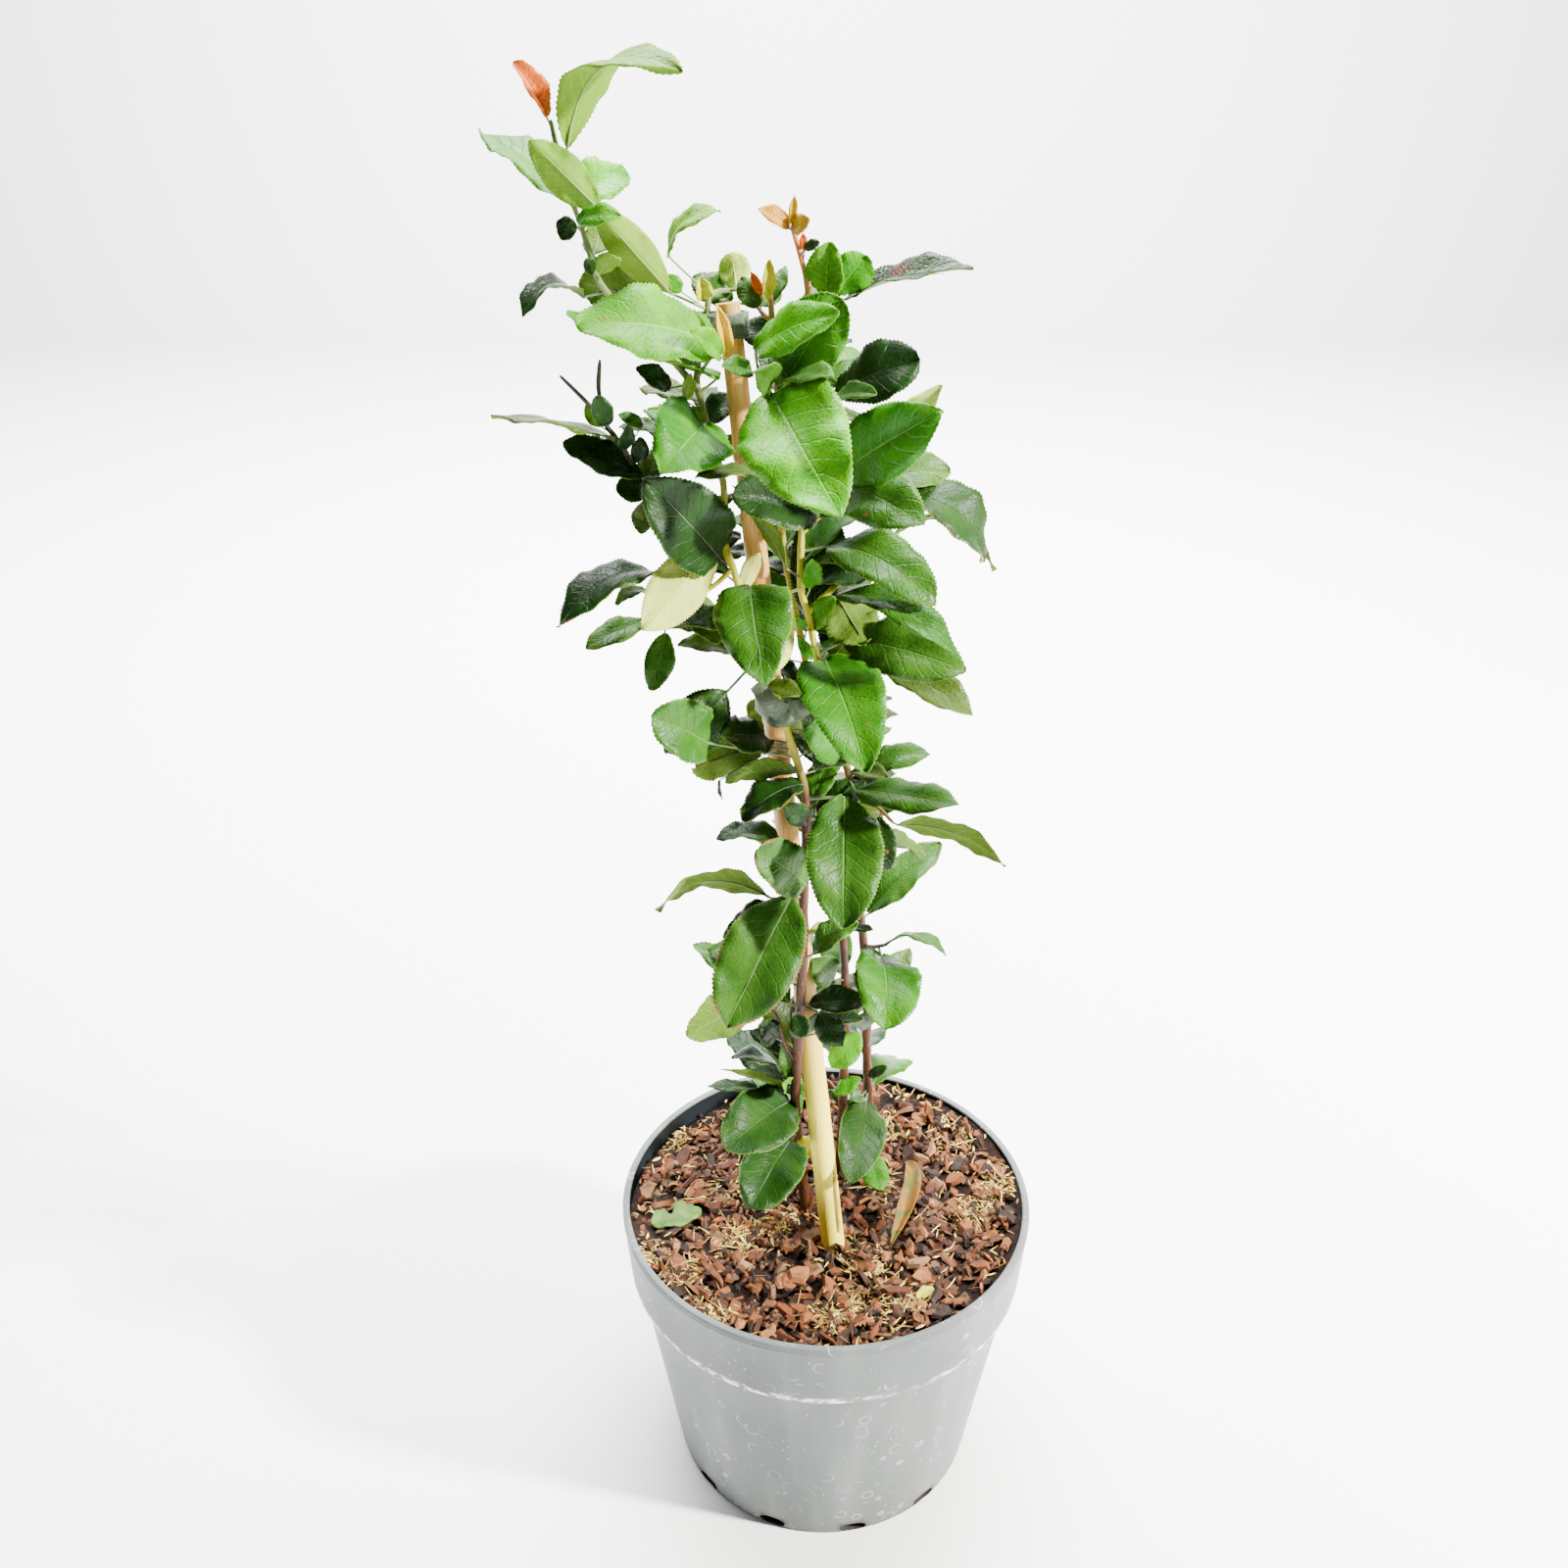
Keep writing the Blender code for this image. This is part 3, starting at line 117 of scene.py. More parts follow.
class Socket:
    """An output of a shader node, or a plain value, that takes part in Python expressions."""

    def __init__(self, tree, output):
        self.tree = tree
        self.output = output

    def node(self, kind, settings=None, out=0, **inputs):
        """Any node: its type, its settings, which output is wanted, and what its sockets take."""
        made = self.tree.nodes.new(kind)
        for key, value in (settings or {}).items():
            if key == "stops":
                ramp = made.color_ramp
                while len(ramp.elements) < len(value):
                    ramp.elements.new(0.5)
                for stop, (place, colour) in zip(ramp.elements, value):
                    stop.position = place
                    stop.color = (*colour, 1) if len(colour) == 3 else colour
            else:
                setattr(made, key, value)
        for key, value in inputs.items():
            place = int(key[1:]) if key[0] == "i" and key[1:].isdigit() else key.replace("_", " ")
            socket = made.inputs[place]
            if isinstance(value, Socket):
                self.tree.links.new(value.output, socket)
            elif isinstance(value, (tuple, list)) and len(value) == 3 and socket.type == "RGBA":
                socket.default_value = (*value, 1)
            else:
                socket.default_value = value
        return Socket(self.tree, made.outputs[out])

    def sum_of(self, operation, first, second=0.0):
        return self.node("ShaderNodeMath", {"operation": operation}, i0=first, i1=second)

    def __add__(self, other):
        return self.sum_of("ADD", self, other)

    def __sub__(self, other):
        return self.sum_of("SUBTRACT", self, other)

    def __mul__(self, other):
        return self.sum_of("MULTIPLY", self, other)

    def __truediv__(self, other):
        return self.sum_of("DIVIDE", self, other)

    def __pow__(self, other):
        return self.sum_of("POWER", self, other)

    def __rsub__(self, other):
        return self.sum_of("SUBTRACT", other, self)

    __radd__ = __add__
    __rmul__ = __mul__

    def absolute(self):
        return self.sum_of("ABSOLUTE", self)

    def at_most(self, limit):
        return self.sum_of("MINIMUM", self, limit)

    def at_least(self, limit):
        return self.sum_of("MAXIMUM", self, limit)

    def zigzag(self, width):
        """Up and down between 0 and a width as this value rises."""
        return self.sum_of("PINGPONG", self, width)

    def part(self, name):
        """X, Y or Z of a vector, or Red, Green or Blue of a colour."""
        kind = "ShaderNodeSeparateXYZ" if name in "XYZ" else "ShaderNodeSeparateColor"
        made = self.tree.nodes.new(kind)
        self.tree.links.new(self.output, made.inputs[0])
        return Socket(self.tree, made.outputs[name])

    def band(self, low, high):
        """0 below low, 1 above high and smooth between. Turned round where low is over high."""
        return self.node("ShaderNodeMapRange", {"interpolation_type": "SMOOTHSTEP"},
                         Value=self, From_Min=low, From_Max=high)

    def mix(self, first, second):
        """Two colours mixed by this share."""
        made = self.tree.nodes.new("ShaderNodeMix")
        made.data_type = "RGBA"
        for place, value in ((0, self), (6, first), (7, second)):
            if isinstance(value, Socket):
                self.tree.links.new(value.output, made.inputs[place])
            else:
                made.inputs[place].default_value = (*value, 1)
        return Socket(self.tree, made.outputs[2])

    def speckle(self, scale, detail=3.0, roughness=0.55):
        """Soft noise at so many grains to the metre, with this place as its coordinate."""
        return self.node("ShaderNodeTexNoise", Vector=self, Scale=scale, Detail=detail, Roughness=roughness)

    def cells(self, scale, feature="F1"):
        """Distance to the nearest of so many scattered points to the metre, or to the edge between them."""
        return self.node("ShaderNodeTexVoronoi", {"feature": feature}, 0, Vector=self, Scale=float(scale))

    def stretched(self, x, y, z):
        """This place with its axes scaled, which draws a pattern out along the small ones."""
        return self.node("ShaderNodeMapping", Vector=self, Scale=(x, y, z))

    def toned(self, hue, saturation, value):
        """This colour with its hue turned, and its saturation and value scaled."""
        return self.node("ShaderNodeHueSaturation", Hue=hue, Saturation=saturation, Value=value, Color=self)


class Finish:
    """A new material, with the coordinates that its pattern reads and a way to set its shader."""

    def __init__(self, name, **fixed):
        self.material = bpy.data.materials.new(name)
        self.material.use_nodes = True
        self.tree = self.material.node_tree
        self.shader = self.tree.nodes["Principled BSDF"]
        places = self.tree.nodes.new("ShaderNodeTexCoord")
        self.place = Socket(self.tree, places.outputs["Object"])
        self.cloth = Socket(self.tree, places.outputs["UV"])
        self.set(**fixed)

    def attribute(self, name):
        """The colours stored on a piece's points under a name."""
        made = self.tree.nodes.new("ShaderNodeAttribute")
        made.attribute_name = name
        return Socket(self.tree, made.outputs["Color"])

    def set(self, **inputs):
        """Values, colours or patterns for the shader's sockets, by their names."""
        for key, value in inputs.items():
            socket = self.shader.inputs[key.replace("_", " ")]
            if isinstance(value, Socket):
                self.tree.links.new(value.output, socket)
            elif isinstance(value, tuple) and socket.type == "RGBA":
                socket.default_value = (*value, 1)
            else:
                socket.default_value = value

    def bump(self, height, distance, strength=1.0):
        """Relief of so many metres, fed to the shader's normal."""
        self.set(Normal=height.node("ShaderNodeBump", Strength=strength, Distance=distance, Height=height))


PAPER_SIZE = 8
PAPER_BACK = 3
PAPER_HEIGHT = 4
PAPER_CURVE = 1.6
deselect_all()
bpy.ops.mesh.primitive_plane_add(size=PAPER_SIZE, location=(0, 0, 0))
floor = bpy.context.object
floor.name = "studio_floor"
bpy.ops.object.mode_set(mode="EDIT")
bpy.ops.mesh.select_all(action="DESELECT")
paper = bmesh.from_edit_mesh(floor.data)
for edge in paper.edges:
    edge.select = all(vertex.co.y > PAPER_BACK for vertex in edge.verts)
bmesh.update_edit_mesh(floor.data)
bpy.ops.mesh.extrude_region_move(TRANSFORM_OT_translate={"value": (0, 0, PAPER_HEIGHT)})
paper = bmesh.from_edit_mesh(floor.data)
for edge in paper.edges:
    edge.select = all(vertex.co.y > PAPER_BACK and vertex.co.z < 1 for vertex in edge.verts)
bmesh.update_edit_mesh(floor.data)
bpy.ops.mesh.bevel(offset=PAPER_CURVE, segments=24)
bpy.ops.object.mode_set(mode="OBJECT")
bpy.ops.object.shade_smooth()
floor_finish = Finish("floor paper", Base_Color=(0.96, 0.96, 0.96), Roughness=0.9, Specular_IOR_Level=0.1)
floor.data.materials.append(floor_finish.material)


# The pot
# A thin tapered nursery pot, moulded in grey polypropylene over a black inner skin, with a deeper
# collar and a rolled lip. Drain slots are cut through its base edge, and its step is scuffed white.

POT_HEIGHT = 0.142
RIM_RADIUS = 0.095
BASE_RADIUS = 0.0724
COLLAR_HEIGHT = 0.034
COLLAR_DRAFT = 0.0026
COLLAR_STEP = 0.0032
POT_WALL = 0.0016
LIP_WIDTH = 0.0033
LIP_DEPTH = 0.003
DRAIN_SLOTS = 12
FIRST_DRAIN_SLOT = math.radians(10 - 90)
# past this radius, a face that looks inwards is on the pot's inner skin
POT_INSIDE = 0.066


def wall_radius(height):
    """The pot's outer radius at a height."""
    collar_foot = POT_HEIGHT - COLLAR_HEIGHT
    if height >= collar_foot:
        return RIM_RADIUS - COLLAR_DRAFT * (POT_HEIGHT - height) / COLLAR_HEIGHT
    body_top = RIM_RADIUS - COLLAR_DRAFT - COLLAR_STEP
    return BASE_RADIUS + (body_top - BASE_RADIUS) * height / collar_foot


def select_only(*pieces):
    """Select these pieces and no other, with the last of them active."""
    deselect_all()
    for piece in pieces:
        piece.select_set(True)
    bpy.context.view_layer.objects.active = pieces[-1]


def next_ring(rise, share, height):
    """In edit mode: extrude the selected ring by a rise and scale it about the axis at a height."""
    bpy.ops.mesh.extrude_region_move(TRANSFORM_OT_translate={"value": (0, 0, rise)})
    bpy.ops.transform.resize(value=(share, share, 1), center_override=(0, 0, height))


def leave_edit_mode():
    """Turn all faces outwards and go back to object mode."""
    bpy.ops.mesh.select_all(action="SELECT")
    bpy.ops.mesh.normals_make_consistent(inside=False)
    bpy.ops.object.mode_set(mode="OBJECT")


def apply_modifiers(piece):
    """Apply all that a piece's modifiers do to its mesh."""
    select_only(piece)
    for modifier in list(piece.modifiers):
        bpy.ops.object.modifier_apply(modifier=modifier.name)


collar_foot = POT_HEIGHT - COLLAR_HEIGHT
lip_foot = POT_HEIGHT - LIP_DEPTH
pot_rings = [
    (BASE_RADIUS - 0.0006, 0.0003), (BASE_RADIUS + 0.0001, 0.0012), (wall_radius(0.003), 0.003),
    (wall_radius(0.02), 0.02), (wall_radius(0.05), 0.05), (wall_radius(0.08), 0.08),
    (wall_radius(collar_foot - 0.0015), collar_foot - 0.0015),
    (wall_radius(collar_foot - 0.0015) + 0.0007, collar_foot - 0.0004),
    (wall_radius(collar_foot) - 0.0007, collar_foot), (wall_radius(collar_foot), collar_foot + 0.0008),
    (wall_radius(collar_foot + 0.012), collar_foot + 0.012),
    (wall_radius(lip_foot - 0.0005), lip_foot - 0.0005),
    (wall_radius(lip_foot) + 0.0002, lip_foot), (RIM_RADIUS - 0.0002, lip_foot + 0.0003),
    (RIM_RADIUS, lip_foot + 0.0008), (RIM_RADIUS, POT_HEIGHT - 0.001),
    (RIM_RADIUS - 0.0004, POT_HEIGHT - 0.0003),
    (RIM_RADIUS - 0.001, POT_HEIGHT), (RIM_RADIUS - LIP_WIDTH + 0.001, POT_HEIGHT),
    (RIM_RADIUS - LIP_WIDTH + 0.0003, POT_HEIGHT - 0.0003), (RIM_RADIUS - LIP_WIDTH, POT_HEIGHT - 0.001),
    (wall_radius(lip_foot) - POT_WALL, lip_foot - 0.001),
    (wall_radius(collar_foot + 0.002) - POT_WALL, collar_foot + 0.002),
    (wall_radius(collar_foot - 0.001) - POT_WALL, collar_foot - 0.001), (wall_radius(0.05) - POT_WALL, 0.05),
    (wall_radius(0.007) - POT_WALL, 0.007), (wall_radius(0.007) - POT_WALL - 0.0035, POT_WALL),
]
FLOOR_RADIUS = BASE_RADIUS - 0.0016
bpy.ops.mesh.primitive_circle_add(vertices=160, radius=FLOOR_RADIUS, fill_type="NGON")
pot = bpy.context.object
pot.name = "nursery_pot"
bpy.ops.object.mode_set(mode="EDIT")
radius, height = FLOOR_RADIUS, 0.0
for next_radius, next_height in pot_rings:
    next_ring(next_height - height, next_radius / radius, next_height)
    radius, height = next_radius, next_height
leave_edit_mode()

SLOT_SPACING = 2 * math.pi / DRAIN_SLOTS
SLOT_MIDDLE = (BASE_RADIUS - 0.001, 0, 0.0036)
SLOT_SIZE = (0.007, 0.0125, 0.0064, 1)
deselect_all()
bpy.ops.mesh.primitive_cylinder_add(vertices=20, radius=0.5, depth=1)
slots = bpy.context.object
slots.data.transform(Matrix.Rotation(math.radians(90), 4, "Y"))
slots.data.transform(Matrix.Translation(SLOT_MIDDLE) @ Matrix.Diagonal(SLOT_SIZE))
slots.data.transform(Matrix.Rotation(FIRST_DRAIN_SLOT, 4, "Z"))
slot_shape = slots.data.copy()
for number in range(1, DRAIN_SLOTS):
    slot = new_piece("slot", slot_shape.copy())
    slot.data.transform(Matrix.Rotation(number * SLOT_SPACING, 4, "Z"))
    select_only(slot, slots)
    bpy.ops.object.join()
cut = pot.modifiers.new("drain slots", "BOOLEAN")
cut.object = slots
cut.operation = "DIFFERENCE"
apply_modifiers(pot)
bpy.data.objects.remove(slots)
select_only(pot)
bpy.ops.object.shade_smooth_by_angle(angle=math.radians(32))

plastic = Finish("grey moulded plastic", Specular_IOR_Level=0.14)
x, y, z = (plastic.place.part(name) for name in "XYZ")
clouds = plastic.place.stretched(1, 1, 0.35).speckle(26, 4)
grey = clouds.band(0.35, 0.7).mix((0.102, 0.117, 0.116), (0.126, 0.143, 0.140))
rise = z - collar_foot
near_step = 1 - ((rise - 0.001).absolute() * 290).band(0.3, 1.0)
wide_step = 1 - (rise.absolute() * 110).band(0.2, 1.0)
rub = plastic.place.stretched(1, 1, 2.2).speckle(210, 5, 0.7)
left_front = (0 - x * 10 - y * 7).band(0.2, 0.75)
right_side = (x * 10 - y * 4).band(0.62, 0.9)
worn = (left_front + right_side * 0.7).at_most(1.0)
scuffs = rub.band(0.43, 0.56) * near_step * worn + rub.band(0.6, 0.68) * wide_step * worn
scuffs = scuffs.at_most(1.0)
cells = plastic.place.cells(105)
ring = cells.band(0.27, 0.31) * (1 - cells.band(0.33, 0.38)) * plastic.place.speckle(34).band(0.52, 0.6)
drops = plastic.place.cells(300)
dots = (1 - drops.band(0.13, 0.2)) * plastic.place.speckle(55, 4).band(0.5, 0.6)
haze = plastic.place.stretched(1, 1, 0.12).speckle(48, 3)
grit = plastic.place.cells(430)
low_down = 1 - (z * 45).band(0.2, 1.0)
specks = (1 - grit.band(0.1, 0.16)) * plastic.place.speckle(70, 4).band(0.53, 0.6) * low_down
dirt = plastic.place.speckle(130, 6, 0.75).band(0.5, 0.6) * (1 - (z * 130).band(0.3, 1.0))
colour = (ring * 0.4 + dots * 0.5 + haze.band(0.45, 0.8) * 0.14).mix(grey, (0.50, 0.54, 0.53))
colour = (scuffs * 0.9).mix(colour, (0.86, 0.89, 0.88))
colour = (dirt * 0.55).mix(colour, (0.13, 0.10, 0.07))
colour = specks.mix(colour, (0.03, 0.02, 0.015))
bearing = y.sum_of("ARCTAN2", y, x)
from_slot = ((bearing - FIRST_DRAIN_SLOT) / SLOT_SPACING).zigzag(0.5)
beside_slot = 1 - (from_slot + plastic.place.speckle(160, 4) * 0.16).band(0.20, 0.31)
# darker round each drain slot, low on the base
darker_by_slots = beside_slot * (1 - (z * 100).band(0.55, 1.0))
colour = (darker_by_slots * 0.85).mix(colour, (0.028, 0.019, 0.013))
plastic.set(Base_Color=colour, Roughness=0.40 + scuffs * 0.3 + dirt * 0.3 + clouds * 0.12)
plastic.bump(plastic.place.speckle(900, 2) * 0.4 + plastic.place.speckle(24, 2), 0.00014, 0.6)
black_inside = Finish("black inner plastic", Base_Color=(0.012, 0.016, 0.02), Roughness=0.38)
pot.data.materials.append(plastic.material)
pot.data.materials.append(black_inside.material)
for face in pot.data.polygons:
    faces_in = face.center.xy.dot(face.normal.xy) < 0 and face.center.xy.length > POT_INSIDE
    if faces_in and POT_WALL < face.center.z < POT_HEIGHT - 0.002:
        face.material_index = 1
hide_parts("pot")
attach(pot, "root")


# The growing mix
# A plug of dark peat and fine bark that fills the pot and shows through its drain slots.
# It is packed round the roots by hand, and the bark covers its top.

peat = Finish("growing mix", Specular_IOR_Level=0.2)
crumbs = peat.place.speckle(420, 6, 0.7)
peat.set(Base_Color=crumbs.band(0.35, 0.7).mix((0.012, 0.008, 0.006), (0.06, 0.036, 0.022)), Roughness=0.95)
peat.bump(crumbs, 0.0015)
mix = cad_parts["growing_mix"]
mix.data.materials.clear()
mix.data.materials.append(peat.material)


# The bark mulch
# A layer of split pine bark over the mix, in flat flakes at all angles, with straw-coloured fibres
# among them. A dark bed follows the layer's mounds, and the loose flakes and fibres lie on it;
# the bed's near-black is painted shade for the gaps between the flakes, and low flakes are painted darker as
# shade.

BARK_TOP = 0.129
BARK_RELIEF = 0.0016
BARK_BANK = 0.0088
BARK_ROOM = 0.0918
BARK_FLAKES = 2150
FLAKE_MODELS = 9
STRAW_FIBRES = 2100


def bark_height(x, y):
    """The bark's height: low mounds, banked up to the rim at the right and low at the back left."""
    mounds = noise.noise(Vector((x, y, 0)) / 0.017) + 0.5 * noise.noise(Vector((x, y, 0)) / 0.0074)
    reach = math.hypot(x, y)
    bearing = math.degrees(math.atan2(y, x)) % 360
    low_side = math.exp(-((bearing - 140) / 34) ** 2)
    high_side = 0.62 + 0.38 * math.cos(math.radians(bearing - 25))
    rise = max(0, min(1, (reach - 0.058) / (BARK_ROOM - 0.058)))
    bank = BARK_BANK * rise ** 1.6 * (1 - 0.95 * low_side) * high_side
    return BARK_TOP + BARK_RELIEF * mounds + 0.0015 * (reach / RIM_RADIUS) ** 2 + bank


BED_RINGS = 34
BED_TAPER = 0.985
BED_DEPTH = 0.0086
deselect_all()
bpy.ops.mesh.primitive_circle_add(vertices=120, radius=BARK_ROOM, fill_type="NGON", location=(0, 0, 0))
bed = bpy.context.object
bed.name = "bark_bed"
bpy.ops.object.mode_set(mode="EDIT")
next_ring(0.1, 1, 0.1)
for ring in range(1, BED_RINGS):
    next_ring(0.001, (BED_RINGS - ring) / (BED_RINGS - ring + 1), 0.1)
leave_edit_mode()
for vertex in bed.data.vertices:
    if vertex.co.z < 0.05:
        vertex.co = Vector((vertex.co.x * BED_TAPER, vertex.co.y * BED_TAPER, BARK_TOP - BED_DEPTH))
    else:
        rough = noise.noise(vertex.co * 420) * 0.0007
        vertex.co.z = bark_height(vertex.co.x, vertex.co.y) + rough
bed_finish = Finish("bark bed in painted shade", Specular_IOR_Level=0.2)
crumbs = bed_finish.place.speckle(300, 6, 0.7)
# painted shade: the bed is coloured near-black, so that the gaps between the flakes look shaded
bed_painted_shade = crumbs.band(0.35, 0.8).mix((0.003, 0.002, 0.0015), (0.030, 0.011, 0.005))
bed_finish.set(Base_Color=bed_painted_shade, Roughness=0.95)
bed_finish.bump(crumbs, 0.0012)
bed.data.materials.append(bed_finish.material)
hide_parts("bark_mulch")
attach(bed, "root")

bed_shape = bmesh.new()
bed_shape.from_mesh(bed.data)
bed_surface = BVHTree.FromBMesh(bed_shape)
bed_shape.free()


def laid_on_bed(x, y, lift):
    """The matrix that lays a thing on the bark bed, turned most of the way to its slope."""
    spot, slope, _, _ = bed_surface.ray_cast(Vector((x, y, 0.25)), -UP)
    lean = UP.rotation_difference(slope.lerp(UP, 0.4))
    return Matrix.Translation((x, y, spot.z + lift)) @ lean.to_matrix().to_4x4()


SHED_LEAVES = (
    ("shed_leaf_dry", (908, 1272), (925, 1184), 0.0115),
    ("shed_leaf_green", (716, 1239), (665, 1252), 0.0155),
    ("shed_leaf_yellow", (952, 1316), (936, 1328), 0.006),
)


# the height at which places on the bark are read off the picture
BARK_AS_SEEN = 0.132


def seen_on_bark(column, row):
    """The place on the bark that shows at a column and row of the picture."""
    near, far = seen(column, row, -100), seen(column, row, 100)
    return near.lerp(far, (BARK_AS_SEEN - near.z) / (far.z - near.z))


def under_shed_leaf(x, y):
    """Whether a place on the bark is covered by one of the fallen leaves."""
    for _, foot, tip, width in SHED_LEAVES:
        foot, tip = seen_on_bark(*foot), seen_on_bark(*tip)
        along = (tip - foot).xy
        share = min(1, max(0, (Vector((x, y)) - foot.xy).dot(along) / along.length_squared))
        if (foot.xy + along * share - Vector((x, y))).length < width * 0.42:
            return True
    return False


def paint(piece, name, colours):
    """Store one colour for all points of a piece, or a row for each, as an attribute for its material."""
    rows = np.ones((len(piece.data.vertices), 4), dtype=np.float32)
    rows[:, :3] = colours
    layer = piece.data.attributes.new(name, "FLOAT_COLOR", "POINT")
    layer.data.foreach_set("color", rows.reshape(-1))


def join_pieces(pieces, name):
    """Join loose copies into one piece with its own mesh."""
    select_only(*pieces[1:], pieces[0])
    bpy.ops.object.join()
    pieces[0].name = name
    return pieces[0]


draw = random.Random(5)
flake_models = []
for number in range(FLAKE_MODELS):
    corners = 5 + number % 3
    deselect_all()
    bpy.ops.mesh.primitive_circle_add(vertices=corners, radius=0.5, fill_type="NGON")
    flake = bpy.context.object
    bpy.ops.object.mode_set(mode="EDIT")
    bpy.ops.mesh.extrude_region_move(TRANSFORM_OT_translate={"value": (0, 0, 1)})
    bpy.ops.transform.resize(value=(0.8, 0.84, 1), center_override=(0, 0, 1))
    leave_edit_mode()
    pulls = [draw.uniform(0.62, 1.12) for _ in range(8)]
    for vertex in flake.data.vertices:
        turn = math.atan2(vertex.co.y, vertex.co.x) / (2 * math.pi) % 1
        pull = pulls[round(turn * corners) % corners]
        vertex.co = Vector((vertex.co.x * pull, vertex.co.y * pull, vertex.co.z + draw.uniform(-0.25, 0.25)))
    flake_models.append(flake.data)
    bpy.data.objects.remove(flake)

FLAKE_COLOURS = ((0.150, 0.042, 0.010), (0.070, 0.019, 0.006), (0.190, 0.060, 0.016), (0.260, 0.100, 0.034),
                 (0.028, 0.010, 0.004), (0.160, 0.048, 0.012), (0.012, 0.006, 0.004), (0.220, 0.115, 0.052))
STANDING_SHARE = 0.05
SLIVER_SHARE = 0.14
FLAKE_HEAP = 0.0023
FLAKE_SINK = 0.0004
LARGE_CHIP_THICKNESS = 0.0021
# the largest chips: column, row, length and width in mm, the way they point, their lean, their lift
# in mm, and which flake colour they have
LARGE_CHIPS = (
    (828, 1262, 12, 8, 30, 14, 2.8, 7), (816, 1302, 13, 10, 20, -8, 2.6, 3),
    (973, 1207, 12, 8, 10, 16, 3.0, 0), (947, 1148, 16, 5, 95, 76, 6.5, 3),
    (986, 1166, 13, 3, 80, 82, 5.5, 0), (715, 1212, 10, 7, 30, 12, 2.6, 5),
    (661, 1222, 13, 8, 75, 48, 4.5, 7), (727, 1301, 23, 4.5, -55, 6, 3.0, 0),
    (937, 1305, 8.5, 7, 45, 10, 3.2, 3), (915, 1320, 16, 4.5, 2, 4, 3.0, 1),
    (937, 1291, 13, 5, 8, 8, 3.0, 7), (938, 1354, 9, 7, 60, 12, 2.8, 3),
    (769, 1353, 9, 7, 15, -12, 2.8, 5), (949, 1215, 9, 6, 70, 18, 2.8, 1),
    (966, 1190, 12, 3, 85, 60, 4.0, 3), (860, 1330, 11, 7, 120, -14, 2.6, 2),
    (1000, 1300, 12, 7, -30, 12, 2.8, 0), (800, 1340, 12, 6, 140, 15, 2.8, 0),
    (985, 1255, 9, 7, 20, -16, 2.6, 5), (745, 1190, 11, 5, 10, 20, 2.6, 1),
)


def lay_flake(model, x, y, lift, tilts, size, colour):
    """A copy of a flake model laid on the bed, with its tilts, its size and its colour."""
    flake = new_piece("flake", model.copy())
    tilted = Euler(tilts, "XYZ").to_matrix().to_4x4() @ Matrix.Diagonal((*size, 1))
    flake.data.transform(laid_on_bed(x, y, lift) @ tilted)
    paint(flake, "flake_colour", colour)
    return flake


flakes = []
while len(flakes) < BARK_FLAKES:
    reach = BARK_ROOM * math.sqrt(draw.random())
    angle = draw.uniform(0, 2 * math.pi)
    x, y = reach * math.cos(angle), reach * math.sin(angle)
    length = 0.0034 + 0.0112 * draw.random() ** 1.6
    width = length * draw.uniform(0.3, 0.78)
    if draw.random() < SLIVER_SHARE:
        length = draw.uniform(0.008, 0.017)
        width = draw.uniform(0.0013, 0.0026)
    thickness = draw.uniform(0.0008, 0.0022)
    tilts = [draw.gauss(0, 0.46), draw.gauss(0, 0.46), draw.uniform(0, 2 * math.pi)]
    rise = draw.random()
    model = draw.choice(flake_models)
    colour = draw.choice(FLAKE_COLOURS)
    # painted shade: besides a random tone, a flake is painted darker the lower it lies in the heap, down to
    # a fifth at the bottom
    shade = draw.uniform(0.6, 1.5) * (0.2 + 0.8 * rise)
    if draw.random() < STANDING_SHARE:
        tilts[1] = draw.uniform(0.8, 1.3)
        width, rise = length * 0.24, 0.9
    if under_shed_leaf(x, y):
        length, thickness, rise = min(length, 0.005), 0.0007, 0
        width, tilts[0], tilts[1] = length * 0.6, 0, 0
    if reach + length * 0.40 > BARK_ROOM:
        continue
    size, colour = (length, width, thickness), [value * shade for value in colour]
    flakes.append(lay_flake(model, x, y, FLAKE_HEAP * rise - FLAKE_SINK, tilts, size, colour))
for number, (column, row, length, width, way, lean, lift, tint) in enumerate(LARGE_CHIPS):
    spot = seen_on_bark(column, row)
    tilts = (0.1, -math.radians(lean), math.radians(way))
    size = (length / 1000, width / 1000, LARGE_CHIP_THICKNESS)
    model = flake_models[number % FLAKE_MODELS]
    flakes.append(lay_flake(model, spot.x, spot.y, lift / 1000, tilts, size, FLAKE_COLOURS[tint]))
bark_flakes = join_pieces(flakes, "bark_flakes")

split_bark = Finish("split bark", Specular_IOR_Level=0.3)
flake_colour = split_bark.attribute("flake_colour")
grain = split_bark.cloth.stretched(3, 26, 1).speckle(1.4, 4, 0.65)
patches = split_bark.place.speckle(210, 4)
colour = (grain.band(0.5, 0.75) * 0.22).mix(flake_colour, (0.34, 0.14, 0.05))
colour = (patches.band(0.5, 0.66) * 0.6).mix(colour, (0.03, 0.012, 0.008))
split_bark.set(Base_Color=colour, Roughness=0.62 + patches * 0.3)
split_bark.bump(grain * 0.7 + patches, 0.0005)
bark_flakes.data.materials.append(split_bark.material)
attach(bark_flakes, "root")


